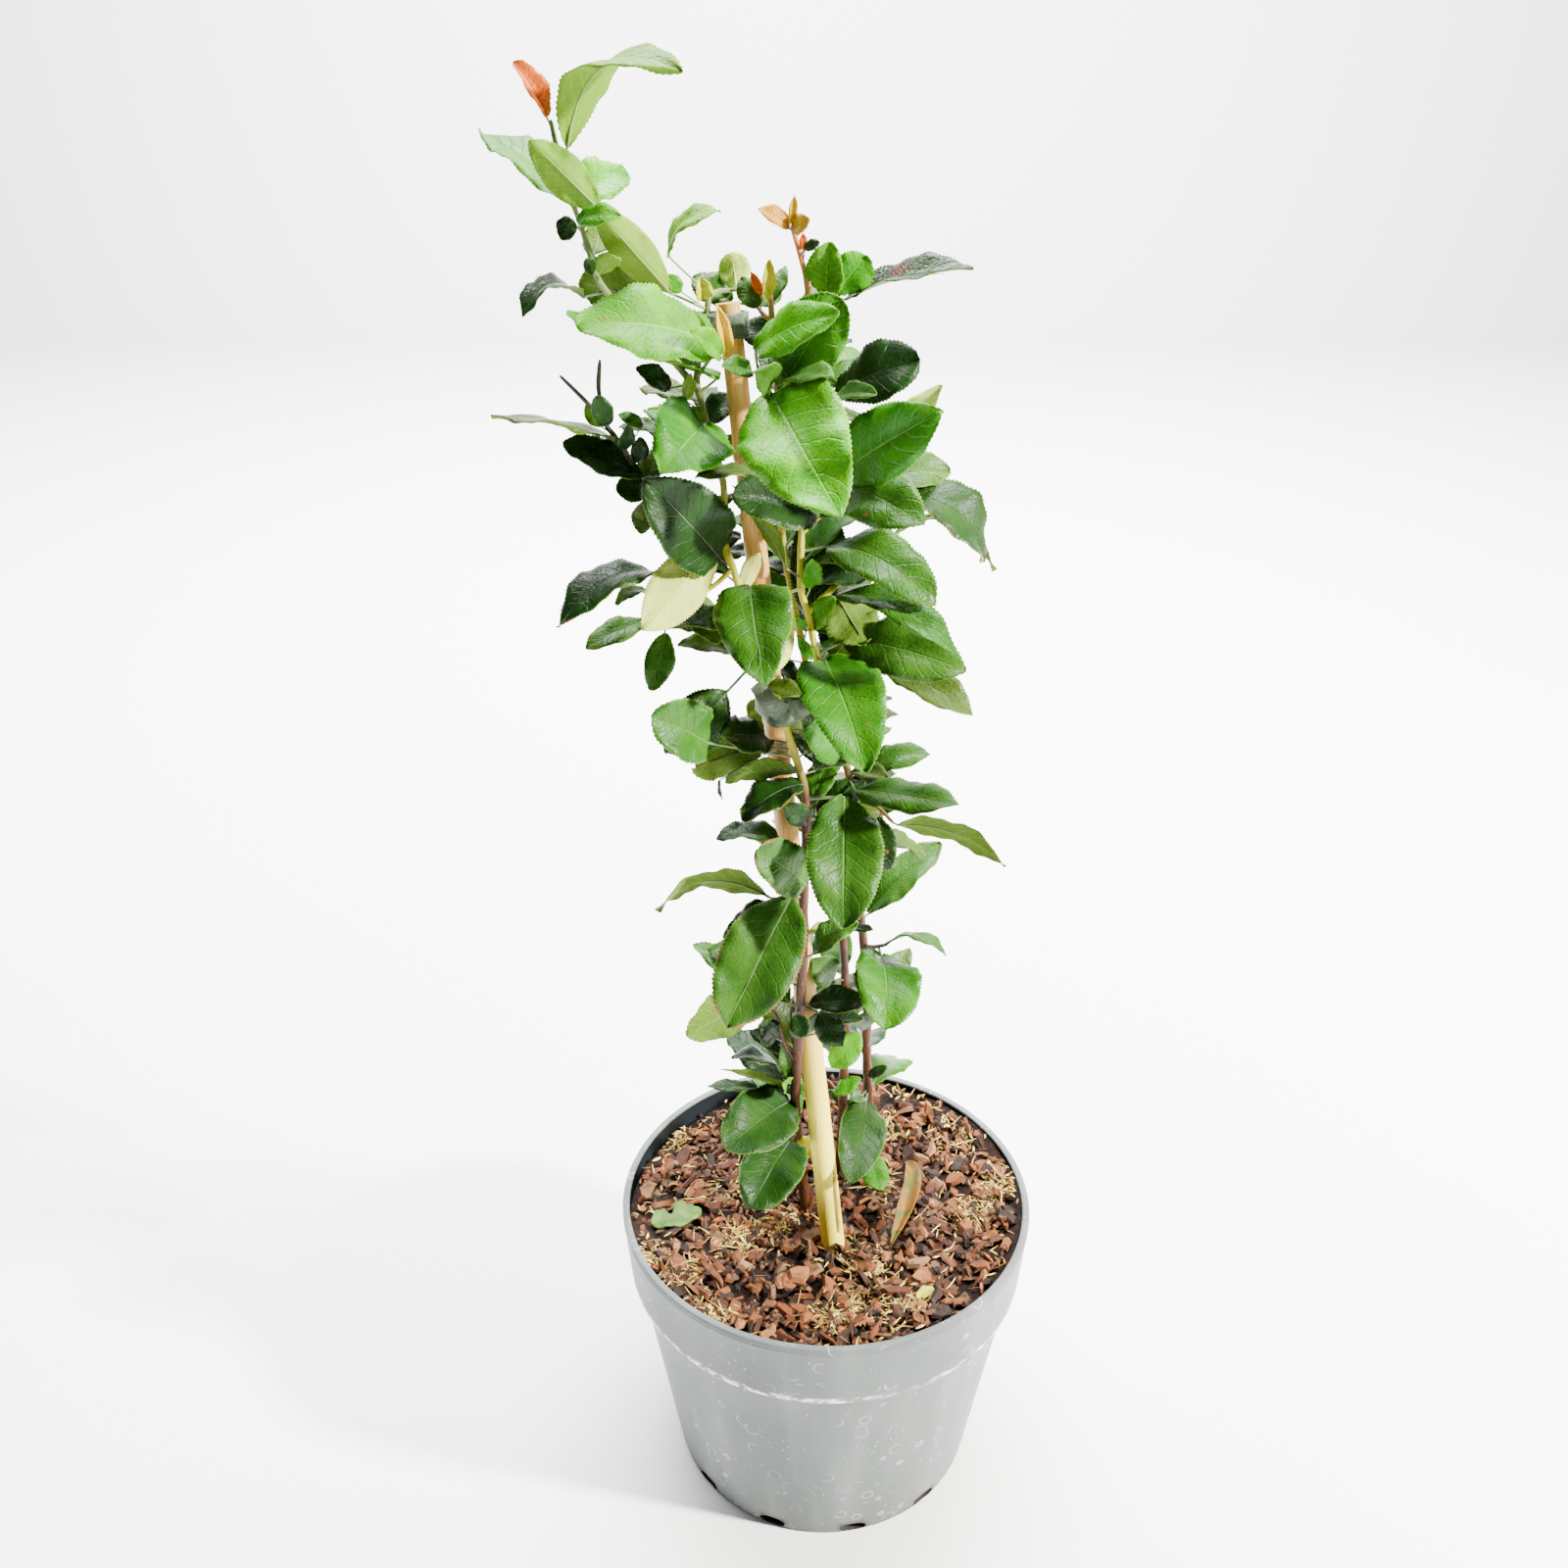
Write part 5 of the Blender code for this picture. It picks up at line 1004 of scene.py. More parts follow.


# each row's tone is partly painted light and shade: lighter for a leaf in the light, darker for one in shade
leaf_rows = (
    # the long shoot at the top left
    leaf((558, 119, -25), (524, 62, -28), 11, "orange", turn=35, fold=35),
    leaf((579, 150, -27), (697, 74, -44), 20, "lime", turn=-145, arch=0.30, twist=85, fold=4),
    leaf((586, 212, -20), (492, 142, 4), 20, "glossy", turn=55),
    leaf((612, 214, -29), (540, 143, -36), 18, "pale", turn=180, arch=-0.06, fold=32),
    leaf((684, 299, -20), (603, 222, -34), 18, "pale", turn=180, arch=-0.05, fold=32),
    leaf((588, 224, -33), (633, 219, -42), 9, "bright", turn=-40),
    leaf((588, 198, -20), (643, 177, -8), 17, "bright", turn=-35, form="broad"),
    leaf((606, 261, -22), (612, 222, -8), 11, "olive", turn=160),
    leaf((589, 231, -24), (569, 237, -22), 8, "deep", turn=20, form="round"),
    leaf((606, 278, -28), (597, 264, -32), 5, "deep", turn=15, form="round"),
    leaf((611, 278, -30), (629, 263, -38), 7, "pale", turn=-150, form="round"),
    leaf((682, 262, -10), (735, 213, -18), 12, "lime", turn=-65, arch=0.22),
    leaf((596, 303, -24), (530, 322, -36), 15, "deep", turn=70, arch=0.30),
    leaf((656, 308, -22), (584, 284, -14), 26, "olive", turn=150, arch=0.05),
    # the crown
    leaf((733, 354, -23), (588, 334, -46), 30, "bright", turn=40, arch=0.12, root=(713, 385, -12)),
    leaf((735, 384, -12), (577, 326, -26), 22, "bright", turn=78, arch=-0.03),
    leaf((695, 298, -12), (680, 280, -15), 6, "bright"),
    leaf((752, 298, 2), (746, 258, 6), 12, "cream", turn=170, form="spoon"),
    leaf((746, 308, 4), (706, 282, 8), 14, "green", turn=30),
    leaf((718, 305, -17), (715, 284, -20), 8, "yellow", turn=10, fold=35, root=(722, 301, -12)),
    leaf((742, 364, -22), (731, 310, -28), 8, "gold", turn=15, fold=40, form="long"),
    leaf((736, 364, -26), (703, 338, -46), 9, "bright", turn=35),
    leaf((783, 305, -6), (784, 265, -8), 7, "yellow", turn=15, fold=35, form="long"),
    leaf((777, 300, -4), (766, 277, -8), 4, "orange", fold=30, form="long"),
    leaf((789, 307, -4), (802, 271, 2), 8, "green", turn=-35, form="long"),
    leaf((772, 314, -4), (757, 286, -8), 10, "green", turn=20),
    leaf((775, 312, 0), (795, 296, 8), 8, "green", turn=-20),
    leaf((808, 228, -13), (811, 199, -15), 4, "gold", fold=35, form="long"),
    leaf((806, 232, -13), (774, 214, -17), 7, "copper", turn=35, arch=0.14),
    leaf((809, 234, -13), (832, 221, -18), 7, "copper", turn=-25, arch=0.12),
    leaf((821, 256, -13), (819, 238, -16), 3, "orange", form="long"),
    leaf((821, 253, -16), (836, 247, -20), 4, "deep", turn=-20, form="round"),
    leaf((844, 301, -10), (847, 247, -16), 15, "bright", turn=-20, fold=14),
    leaf((850, 302, -10), (880, 265, -18), 15, "bright", turn=10, form="spoon"),
    leaf((862, 305, -6), (993, 280, -24), 17, "deep", turn=-66, arch=0.08, fold=14),
    leaf((770, 358, -14), (858, 321, -38), 18, "bright", turn=-35, arch=0.10),
    leaf((798, 398, -10), (860, 306, -24), 28, "glossy", turn=-18, arch=0.10, form="round"),
    leaf((797, 396, -14), (858, 378, -42), 13, "green", turn=-72),
    leaf((786, 395, -14), (757, 361, -36), 14, "green", turn=30),
    leaf((768, 379, -20), (737, 373, -36), 8, "green", turn=30),
    leaf((800, 347, -4), (756, 334, 4), 13, "deep", turn=25),
    leaf((788, 402, -26), (859, 528, -66), 39, "bright", turn=2, form="broad", root=(794, 408, -5)),
    leaf((851, 404, -12), (939, 369, -26), 23, "deep", turn=-28, arch=0.12, form="spoon"),
    leaf((849, 408, -16), (903, 399, -30), 9, "green", turn=-50),
    leaf((860, 483, -16), (958, 421, -50), 28, "glossy", turn=-14, arch=0.08, fold=14),
    leaf((866, 462, -4), (964, 393, -14), 12, "cream", turn=155),
    leaf((866, 497, -16), (894, 461, -26), 6, "pale", turn=-160, form="long"),
    leaf((866, 499, -14), (966, 484, -2), 20, "green", turn=-35, arch=0.12),
    leaf((864, 500, -18), (943, 537, -52), 24, "green", turn=-22, arch=0.14),
    leaf((904, 503, -10), (1008, 563, -34), 26, "dusky", turn=-48, arch=0.26),
    leaf((893, 563, -9), (1026, 580, -22), 22, "olive", turn=-98, arch=0.32),
    leaf((847, 557, -14), (957, 616, -44), 24, "green", turn=-32, arch=0.16),
    leaf((852, 609, -16), (976, 669, -52), 18, "green", turn=-48, arch=0.16),
    leaf((856, 611, -10), (884, 656, -24), 22, "olive", turn=165),
    leaf((829, 640, -14), (853, 610, -22), 10, "bright", turn=-30),
    leaf((863, 653, -14), (972, 682, -48), 26, "green", turn=-24, arch=0.10),
    leaf((904, 683, -18), (994, 728, -34), 17, "olive", turn=-36, arch=0.08),
    leaf((848, 674, -12), (866, 650, -14), 10, "olive", turn=160),
    leaf((842, 675, -22), (884, 788, -62), 32, "glossy", turn=-14, arch=0.12, form="broad"),
    leaf((862, 764, -24), (822, 742, -40), 19, "glossy", turn=12, form="round"),
    leaf((827, 600, -18), (828, 570, -22), 8, "bright", turn=20),
    leaf((829, 673, -20), (813, 648, -26), 5, "bright", form="long"),
    leaf((822, 641, -22), (812, 630, -25), 4, "bright", form="long"),
    leaf((765, 598, -30), (780, 698, -62), 30, "green", turn=4, arch=0.06, form="spade"),
    leaf((800, 606, -24), (757, 698, -42), 26, "cream", turn=172),
    leaf((757, 604, -24), (773, 568, -28), 7, "cream", turn=-160),
    leaf((803, 580, -22), (745, 497, -22), 9, "olive", turn=130, form="long"),
    leaf((833, 524, -20), (746, 506, -36), 24, "deep", turn=18, fold=24, form="round"),
    leaf((778, 485, -24), (709, 487, -42), 12, "olive", turn=65),
    leaf((719, 433, -17), (676, 480, -50), 31, "glossy", turn=8, form="broad"),
    leaf((718, 431, -14), (704, 416, -18), 6, "lime"),
    leaf((722, 432, -8), (746, 401, -4), 11, "deep", turn=-20),
    leaf((629, 449, -22), (502, 430, -20), 18, "olive", turn=84, arch=0.06),
    leaf((619, 434, -24), (608, 404, -28), 8, "deep", turn=10, form="round"),
    leaf((613, 435, -20), (598, 412, -16), 7, "pale", turn=170),
    leaf((656, 434, -18), (631, 423, -24), 5, "green", turn=20),
    leaf((651, 472, -20), (654, 446, -24), 7, "deep", turn=10),
    leaf((636, 458, -25), (642, 434, -34), 6, "deep", turn=20),
    leaf((655, 487, -23), (582, 449, -34), 17, "deep", turn=40),
    leaf((660, 492, -18), (672, 458, -10), 11, "olive", turn=-15),
    leaf((657, 498, -22), (631, 501, -30), 11, "deep", turn=15, form="round"),
    leaf((658, 512, -20), (655, 545, -26), 9, "olive", turn=10),
    leaf((736, 572, -18), (660, 490, -46), 29, "deep", turn=8, form="oval"),
    leaf((735, 548, -14), (706, 500, -12), 12, "deep", turn=20),
    leaf((684, 396, -12), (649, 376, -20), 9, "deep", turn=30),
    leaf((714, 366, -16), (683, 352, -28), 9, "green", turn=20, form="round"),
    leaf((699, 409, -14), (706, 374, -16), 5, "pale", turn=165, form="long"),
    # the left side, from the middle down
    leaf((668, 583, -20), (570, 640, -42), 20, "deep", turn=50, arch=0.20),
    leaf((661, 605, -20), (628, 617, -28), 8, "olive", turn=50, arch=0.25),
    leaf((660, 633, -18), (597, 660, -32), 12, "green", turn=35, arch=0.06),
    leaf((728, 556, -18), (664, 650, -48), 21, "cream", turn=174, arch=-0.04),
    leaf((679, 646, -30), (664, 704, -38), 12, "green", turn=-15),
    leaf((712, 606, -18), (692, 617, -24), 5, "lime"),
    leaf((712, 638, -12), (683, 634, -18), 9, "olive", turn=30),
    leaf((713, 606, -14), (742, 663, -26), 14, "olive", turn=160),
    leaf((748, 665, -14), (692, 656, -24), 10, "olive", turn=45),
    leaf((742, 706, -26), (680, 770, -38), 24, "dusky", turn=-16, root=(777, 667, -29)),
    leaf((722, 758, -42), (664, 731, -60), 23, "green", turn=12, arch=0.10, form="round",
         root=(812, 772, -26)),
    leaf((786, 755, -28), (724, 747, -30), 20, "deep", turn=42, arch=0.10),
    leaf((780, 762, -26), (722, 781, -46), 22, "olive", turn=150, form="round"),
    leaf((786, 742, -8), (766, 714, -6), 11, "olive", turn=165, form="round"),
    leaf((784, 699, -38), (818, 709, -44), 8, "olive", turn=-30),
    leaf((813, 787, -26), (738, 795, -40), 13, "deep", turn=128, arch=0.08),
    leaf((819, 800, -26), (758, 838, -42), 19, "deep", turn=46, arch=0.12),
    leaf((822, 902, -32), (770, 868, -44), 22, "green", turn=18, form="round"),
    leaf((822, 838, -30), (802, 822, -34), 10, "deep", form="round"),
    leaf((734, 796, -44), (737, 816, -48), 2.5, "deep", turn=60, form="long"),
    leaf((785, 915, -26), (668, 927, -46), 20, "olive", turn=112, arch=0.20),
    leaf((808, 914, -34), (741, 1050, -66), 33, "green", turn=4, arch=0.06),
    leaf((775, 1018, -28), (700, 1057, -40), 22, "olive", turn=150, arch=0.04),
    # the right side, from the middle down
    leaf((861, 813, -24), (860, 947, -60), 31, "green", turn=-4, arch=0.08),
    leaf((872, 806, -20), (979, 826, -50), 20, "green", turn=-46, arch=0.04),
    leaf((868, 788, -20), (906, 795, -34), 10, "olive", turn=-50),
    leaf((912, 841, -17), (1027, 883, -34), 16, "olive", turn=-122, arch=0.13),
    leaf((897, 834, -12), (905, 889, -22), 11, "deep", turn=-10),
    leaf((903, 964, -16), (967, 973, -32), 12, "green", turn=-74, arch=0.20),
    leaf((832, 912, -22), (856, 940, -30), 8, "cream", turn=160),
    leaf((862, 949, -16), (824, 954, -24), 10, "cream", turn=50),
    leaf((864, 948, -14), (891, 950, -22), 6, "deep", turn=-50),
    leaf((850, 1000, -14), (824, 974, -18), 15, "green", turn=10),
    leaf((886, 980, -14), (892, 1023, -34), 14, "green", turn=5, form="round"),
    leaf((899, 974, -14), (906, 1071, -48), 29, "glossy", turn=-20, arch=0.10, form="round"),
    # low on the stems
    leaf((793, 1060, -32), (776, 1046, -36), 12, "deep", turn=10, form="round"),
    leaf((808, 1098, -22), (798, 1064, -28), 9, "green", turn=10),
    leaf((836, 1034, -40), (858, 1067, -46), 13, "deep", turn=5),
    leaf((812, 1036, -38), (821, 1058, -44), 9, "deep", turn=5),
    leaf((878, 1055, -8), (848, 1090, -14), 14, "bright", turn=8),
    leaf((886, 1098, 8), (905, 1088, 6), 5, "deep", form="round"),
    leaf((797, 1100, -18), (747, 1078, -28), 15, "deep", turn=70, arch=0.18),
    leaf((800, 1106, -20), (779, 1085, -30), 8, "bright", turn=20),
    leaf((808, 1117, -14), (737, 1096, -34), 8, "olive", turn=115),
    leaf((780, 1114, -10), (722, 1110, -14), 9, "deep", turn=50),
    leaf((806, 1123, -18), (741, 1172, -56), 29, "dusky", turn=10, form="round"),
    leaf((808, 1160, -14), (768, 1143, -26), 14, "green", turn=25),
    leaf((806, 1164, -20), (766, 1232, -58), 28, "dusky", turn=8, form="round"),
    leaf((822, 1160, -12), (817, 1186, -18), 9, "yellow", turn=5),
    leaf((884, 1122, 14), (866, 1208, -30), 23, "dusky", turn=-12),
    leaf((886, 1180, 12), (898, 1216, -14), 14, "glossy", turn=-10, form="round"),
    leaf((880, 1118, 14), (850, 1128, 2), 8, "green", turn=20),
    leaf((852, 1116, -2), (878, 1100, -2), 8, "bright", turn=-20),
)

# the ways, in degrees, that a leaf may be bent clear of its neighbours, as on the solids
BENDS = [(away, aside) for aside in (0, 5, -5, 10, -10, 16, -16, 22, -22)
         for away in (0, 6, -6, 12, -12, 18, -18, 24, -24, 30, -30)]


def blade_of(row, routes):
    """A row's blade as points and directions in space, rooted in the nearest stem or twig."""
    foot, tip, width, tone, turn, arch, twist, fold, form, root_hint = row
    foot, tip = seen(*foot), seen(*tip)
    along = (tip - foot).normalized()
    sight = (EYE - foot).normalized()
    facing = (sight - along * sight.dot(along)).normalized()
    turn = math.radians(turn)
    face = facing * math.cos(turn) + along.cross(facing) * math.sin(turn)
    root = nearest_on(routes, seen(*root_hint) if root_hint else foot - along * 0.002 - UP * 0.003)
    if (foot - root).length < SHORTEST_STALK:
        foot = root + along * SHORTEST_STALK
    return dict(root=root, foot=foot, tip=tip, face=face, width=width / 1000, arch=arch,
                twist=math.radians(twist), fold=math.radians(fold), form=form, tone=tone)


def bent(blade, away, aside):
    """The blade with its tip swung about its foot: away from the view, then sideways in it."""
    sight = (EYE - blade["foot"]).normalized()
    along = blade["tip"] - blade["foot"]
    hinge = along.cross(sight).normalized()
    turn = Matrix.Rotation(math.radians(aside), 3, sight) @ Matrix.Rotation(math.radians(away), 3, hinge)
    return dict(blade, tip=blade["foot"] + turn @ along, face=turn @ blade["face"])


def crossing(route, height):
    """The point where a route passes a height."""
    for low, high in zip(route, route[1:]):
        if low.z <= height < high.z:
            return low.lerp(high, (height - low.z) / (high.z - low.z))


HIDDEN_FROM = 0.172
HIDDEN_SPACING = 0.027


def hidden_blades(route, bearing_back, draw):
    """Leaves on the side of a stem away from the view, by turns to the left and the right."""
    blades = []
    top = route[-1].z - 0.040
    level = HIDDEN_FROM + draw.uniform(0, HIDDEN_SPACING)
    while level < top:
        bearing = math.radians(bearing_back + draw.uniform(3.0, 26.0) * (-1) ** len(blades))
        length = draw.uniform(0.032, 0.048)
        lift = math.radians(draw.uniform(-22.0, 34.0))
        slimness = draw.uniform(0.44, 0.56)
        arch = draw.uniform(0.06, 0.18)
        spot = crossing(route, level)
        level += HIDDEN_SPACING
        out = Vector((math.sin(bearing), math.cos(bearing), 0))
        along = out * math.cos(lift) + UP * math.sin(lift)
        foot = spot + out * 0.005 + UP * 0.002
        # painted light and shade: hidden leaves above 0.45 m take the lighter "glossy" tone, as if in the
        # light, and those below take darker tones, as if in shade
        tone = ("green", "deep", "olive", "green")[len(blades) % 4] if level < 0.45 else "glossy"
        blades.append(dict(root=spot, foot=foot, tip=foot + along * length, face=UP - along * along.z,
                           width=length * slimness, arch=arch, twist=0.0, fold=math.radians(10),
                           form="oval", tone=tone))
    return blades


def blade_frames(blade, shares):
    """For some shares of a blade's length: points on its midrib, and the ways across and up."""
    foot, tip, face = (np.array(blade[key]) for key in ("foot", "tip", "face"))
    length = np.linalg.norm(tip - foot)
    along = (tip - foot) / length
    face = face - along * face.dot(along)
    face /= np.linalg.norm(face)
    beside = np.cross(along, face)
    t = np.asarray(shares)[:, None]
    middle = face * math.cos(blade["twist"] / 2) + beside * math.sin(blade["twist"] / 2)
    turned = face * np.cos(blade["twist"] * t) + beside * np.sin(blade["twist"] * t)
    place = foot + along * length * t + middle * blade["arch"] * length * 4 * t * (1 - t)
    heading = along + middle * blade["arch"] * 4 * (1 - 2 * t)
    heading /= np.linalg.norm(heading, axis=1)[:, None]
    across = np.cross(heading, turned)
    across /= np.linalg.norm(across, axis=1)[:, None]
    return place, across, np.cross(across, heading), length


def blade_tip(blade):
    """Where a blade's arched midrib ends."""
    place, _, _, _ = blade_frames(blade, [1.0])
    return Vector(place[0])


def shaped_blade(blade, model, rows, columns, seed):
    """A copy of the flat leaf model, shaped to a blade: outline, teeth, fold, arch and waves."""
    mesh = model.copy()
    t = np.linspace(0, 1, rows + 1)
    side = np.linspace(-1, 1, columns + 1)
    place, across, up, length = blade_frames(blade, t)
    rise, fall = FORMS[blade["form"]]
    peak = rise / (rise + fall)
    reach = blade["width"] / 2 * (t / peak) ** rise * ((1 - t) / (1 - peak)) ** fall
    reach = np.maximum(reach, PETIOLE_WIDTH / 2 * (1 - t) ** 2 * 0.7 + 0.00015)
    tooth = np.where(np.arange(rows + 1) % 2 == 0, -1.0, 1.0) * min(TOOTH, blade["width"] * TOOTH_SHARE)
    tooth[:4] = 0
    tooth[-1] = 0
    edge = np.abs(side) ** 10
    span = side[None] * reach[:, None] + np.sign(side)[None] * edge[None] * tooth[:, None]
    phase = seed * 1.7
    out = np.abs(side)[None]
    wave = RIPPLE * blade["width"] * out * np.sin(13 * t[:, None] + 2 * side[None] + phase)
    frill = FRILL * blade["width"] * out ** 3 * np.sin(37 * t[:, None] + 5 * side[None] + phase * 2.3)
    curl = 0.06 + 0.26 * (0.5 + 0.5 * math.sin(seed * 2.9))
    droop = -curl * reach[:, None] * out ** 2.5
    fold = blade["fold"] + math.radians(11)
    lift = np.abs(span) * math.sin(fold) + (wave + frill) + droop
    lean = out * np.sin(9 * t[:, None] + phase) * 0.012 * length * (1 - t[:, None]) * t[:, None] * 2
    heading = np.cross(up, across)
    points = place[:, None] + across[:, None] * (span * math.cos(fold))[..., None]
    points = points + up[:, None] * lift[..., None] + heading[:, None] * lean[..., None]
    tip_curl = 0.05 * length * math.sin(seed * 5.3 + 0.8)
    points = points - up[:, None] * (tip_curl * t ** 4)[:, None, None]
    mesh.vertices.foreach_set("co", points.reshape(-1).astype(np.float32))
    return mesh


def flat_model(rows, columns):
    """A flat grid with the leaf's rows and columns, which every leaf of its size starts from."""
    deselect_all()
    bpy.ops.mesh.primitive_grid_add(x_subdivisions=columns, y_subdivisions=rows, size=1, calc_uvs=True)
    grid = bpy.context.object
    bpy.ops.object.shade_smooth()
    mesh = grid.data
    bpy.data.objects.remove(grid)
    return mesh


MODEL_SIZES = ((0.036, 72, 8), (0.022, 52, 8), (0.012, 32, 6), (0.0, 20, 4))
leaf_models = [(least, rows, columns, flat_model(rows, columns)) for least, rows, columns in MODEL_SIZES]

solid_points = {}
for name in stem_picks:
    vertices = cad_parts[name].data.vertices
    tree = kdtree.KDTree(len(vertices))
    for number, vertex in enumerate(vertices):
        tree.insert(vertex.co, number)
    tree.balance()
    solid_points[name] = tree

every_line = [route for routes in stem_lines.values() for route in routes]
planned = []
for row in leaf_rows:
    blade = blade_of(row, every_line)
    root = blade["root"]
    owner = min(stem_lines, key=lambda name: (nearest_on(stem_lines[name], root) - root).length)
    planned.append((owner, blade))
draw = random.Random(11)
for name, bearing_back in (("stem_left", -36.0), ("stem_mid", -2.0), ("stem_right", 20.0)):
    planned += [(name, blade) for blade in hidden_blades(stem_lines[name][0], bearing_back, draw)]

shades = random.Random(3)


def sized_blade(blade, seed):
    """A blade shaped from the flat model that suits its length."""
    length = (blade["tip"] - blade["foot"]).length
    least, rows, columns, model = next(size for size in leaf_models if length >= size[0])
    return shaped_blade(blade, model, rows, columns, seed)


def grow(blade, seed, leaves, stalks):
    """Add a leaf and its stalk, which runs on under the blade as its midrib, to a stem's parts."""
    part = new_piece("leaf", sized_blade(blade, seed))
    tone = [min(1, value * shades.uniform(0.9, 1.1)) for value in LEAF_TONES_LIT_AND_SHADED[blade["tone"]]]
    young = 1.0 if blade["tone"] in YOUNG_TONES else 0.0
    traits = (shades.random(), young, shades.random())
    paint(part, "leaf_tone_and_painted_light", tone)
    paint(part, "leaf_traits", traits)
    leaves.append(part)
    places, across, up, length = blade_frames(blade, np.linspace(0, 0.8, 9))
    spine = [blade["root"].lerp(blade["foot"], share) for share in (0.0, 0.35, 0.7)]
    spine += [Vector(place - rise * 0.0003) for place, rise in zip(places, up)]
    thick = min(0.00085, 0.0003 + blade["width"] * 0.018)
    radii = [thick * share for share in (1, 0.8, 0.75, 0.8, *np.linspace(0.62, 0.14, 8))]
    stalk = rolled("stalk", spine, radii, 6)
    paint(stalk, "leaf_tone_and_painted_light", [min(1, value * 0.8 + 0.05) for value in tone])
    stalks.append(stalk)
    return part


def surface_of(mesh):
    """A mesh's surface, to be tested for what meets it."""
    corners = [vertex.co for vertex in mesh.vertices]
    return BVHTree.FromPolygons(corners, [face.vertices for face in mesh.polygons])


leaf_parts = {name: [] for name in stem_picks}
inner_parts = {name: [] for name in stem_picks}
stalk_parts = {name: [] for name in stem_picks}
grown = []
missing = 0
# a leaf stands where its tip comes this close to the solids, and is left out where none does
TIP_GAP = 0.0006
for number, (owner, blade) in enumerate(planned):
    choices = [bent(blade, away, aside) for away, aside in BENDS]
    gaps = [solid_points[owner].find(blade_tip(choice))[2] for choice in choices]
    best = min(range(len(choices)), key=lambda place: (gaps[place] > TIP_GAP, place))
    if gaps[best] > TIP_GAP:
        missing += 1
        continue
    part = grow(choices[best], number, leaf_parts[owner], stalk_parts[owner])
    grown.append((blade["foot"], surface_of(part.data)))

# small leaves deep among the large ones, wherever they cross none of them
INNER_LEAVES = 40
LEAF_REACH = 0.09
GOLDEN_ANGLE = math.radians(137.5)
INNER_FROM = {"stem_left": 0.225, "stem_mid": 0.285, "stem_right": 0.30}
draw = random.Random(21)
for name in stem_picks:
    route = stem_lines[name][0]
    for number in range(INNER_LEAVES):
        share = (number + draw.random()) / INNER_LEAVES
        level = INNER_FROM[name] + (route[-1].z - 0.03 - INNER_FROM[name]) * share
        length = draw.uniform(0.017, 0.031)
        lift = math.radians(draw.uniform(-22, 38))
        slim = draw.uniform(0.5, 0.64)
        arch = draw.uniform(0.04, 0.2)
        # painted shade: these leaves deep in the crown mostly take the dark "deep" tone, as if in shade
        tone = draw.choice(("deep", "deep", "green", "olive"))
        lean = draw.uniform(-0.6, 0.1)
        for turn in range(6):
            bearing = (number + turn * 0.37) * GOLDEN_ANGLE
            out = Vector((math.sin(bearing), abs(math.cos(bearing)) - 0.2, 0)).normalized()
            spot = crossing(route, level)
            along = out * math.cos(lift) + UP * math.sin(lift)
            foot = spot + along * draw.uniform(0.004, 0.009)
            blade = dict(root=spot, foot=foot, tip=foot + along * length, face=Vector((0, lean, 1)),
                         width=length * slim, arch=arch, twist=0.0, fold=math.radians(8),
                         form="oval", tone=tone)
            seed = number * 3 + turn
            trial = sized_blade(blade, seed)
            surface = surface_of(trial)
            bpy.data.meshes.remove(trial)
            to_cane = min((point - foot.lerp(blade["tip"], 0.5)).length for point in cane_points[::4])
            near = [other for place, other in grown if (place - foot).length < LEAF_REACH]
            if to_cane > 0.4 * length + 0.007 and not any(surface.overlap(other) for other in near):
                grow(blade, seed, inner_parts[name], stalk_parts[name])
                grown.append((foot, surface))
                break
print("leaves placed:", len(grown), "left out:", missing)


def on_leaves(column, row):
    """The nearest place on a leaf that shows at a column and row of the picture."""
    sight = (seen(column, row, 0) - EYE).normalized()
    hits = [surface.ray_cast(EYE, sight) for _, surface in grown]
    return min((hit for hit in hits if hit[0] is not None), key=lambda hit: hit[3])[0]


BURNT = (0.06, 0.015, 0.003)
BURNT_PATCHES = ((916, 276, 0.0032), (925, 273, 0.0020))
burnt_places = [(on_leaves(column, row), reach) for column, row, reach in BURNT_PATCHES]


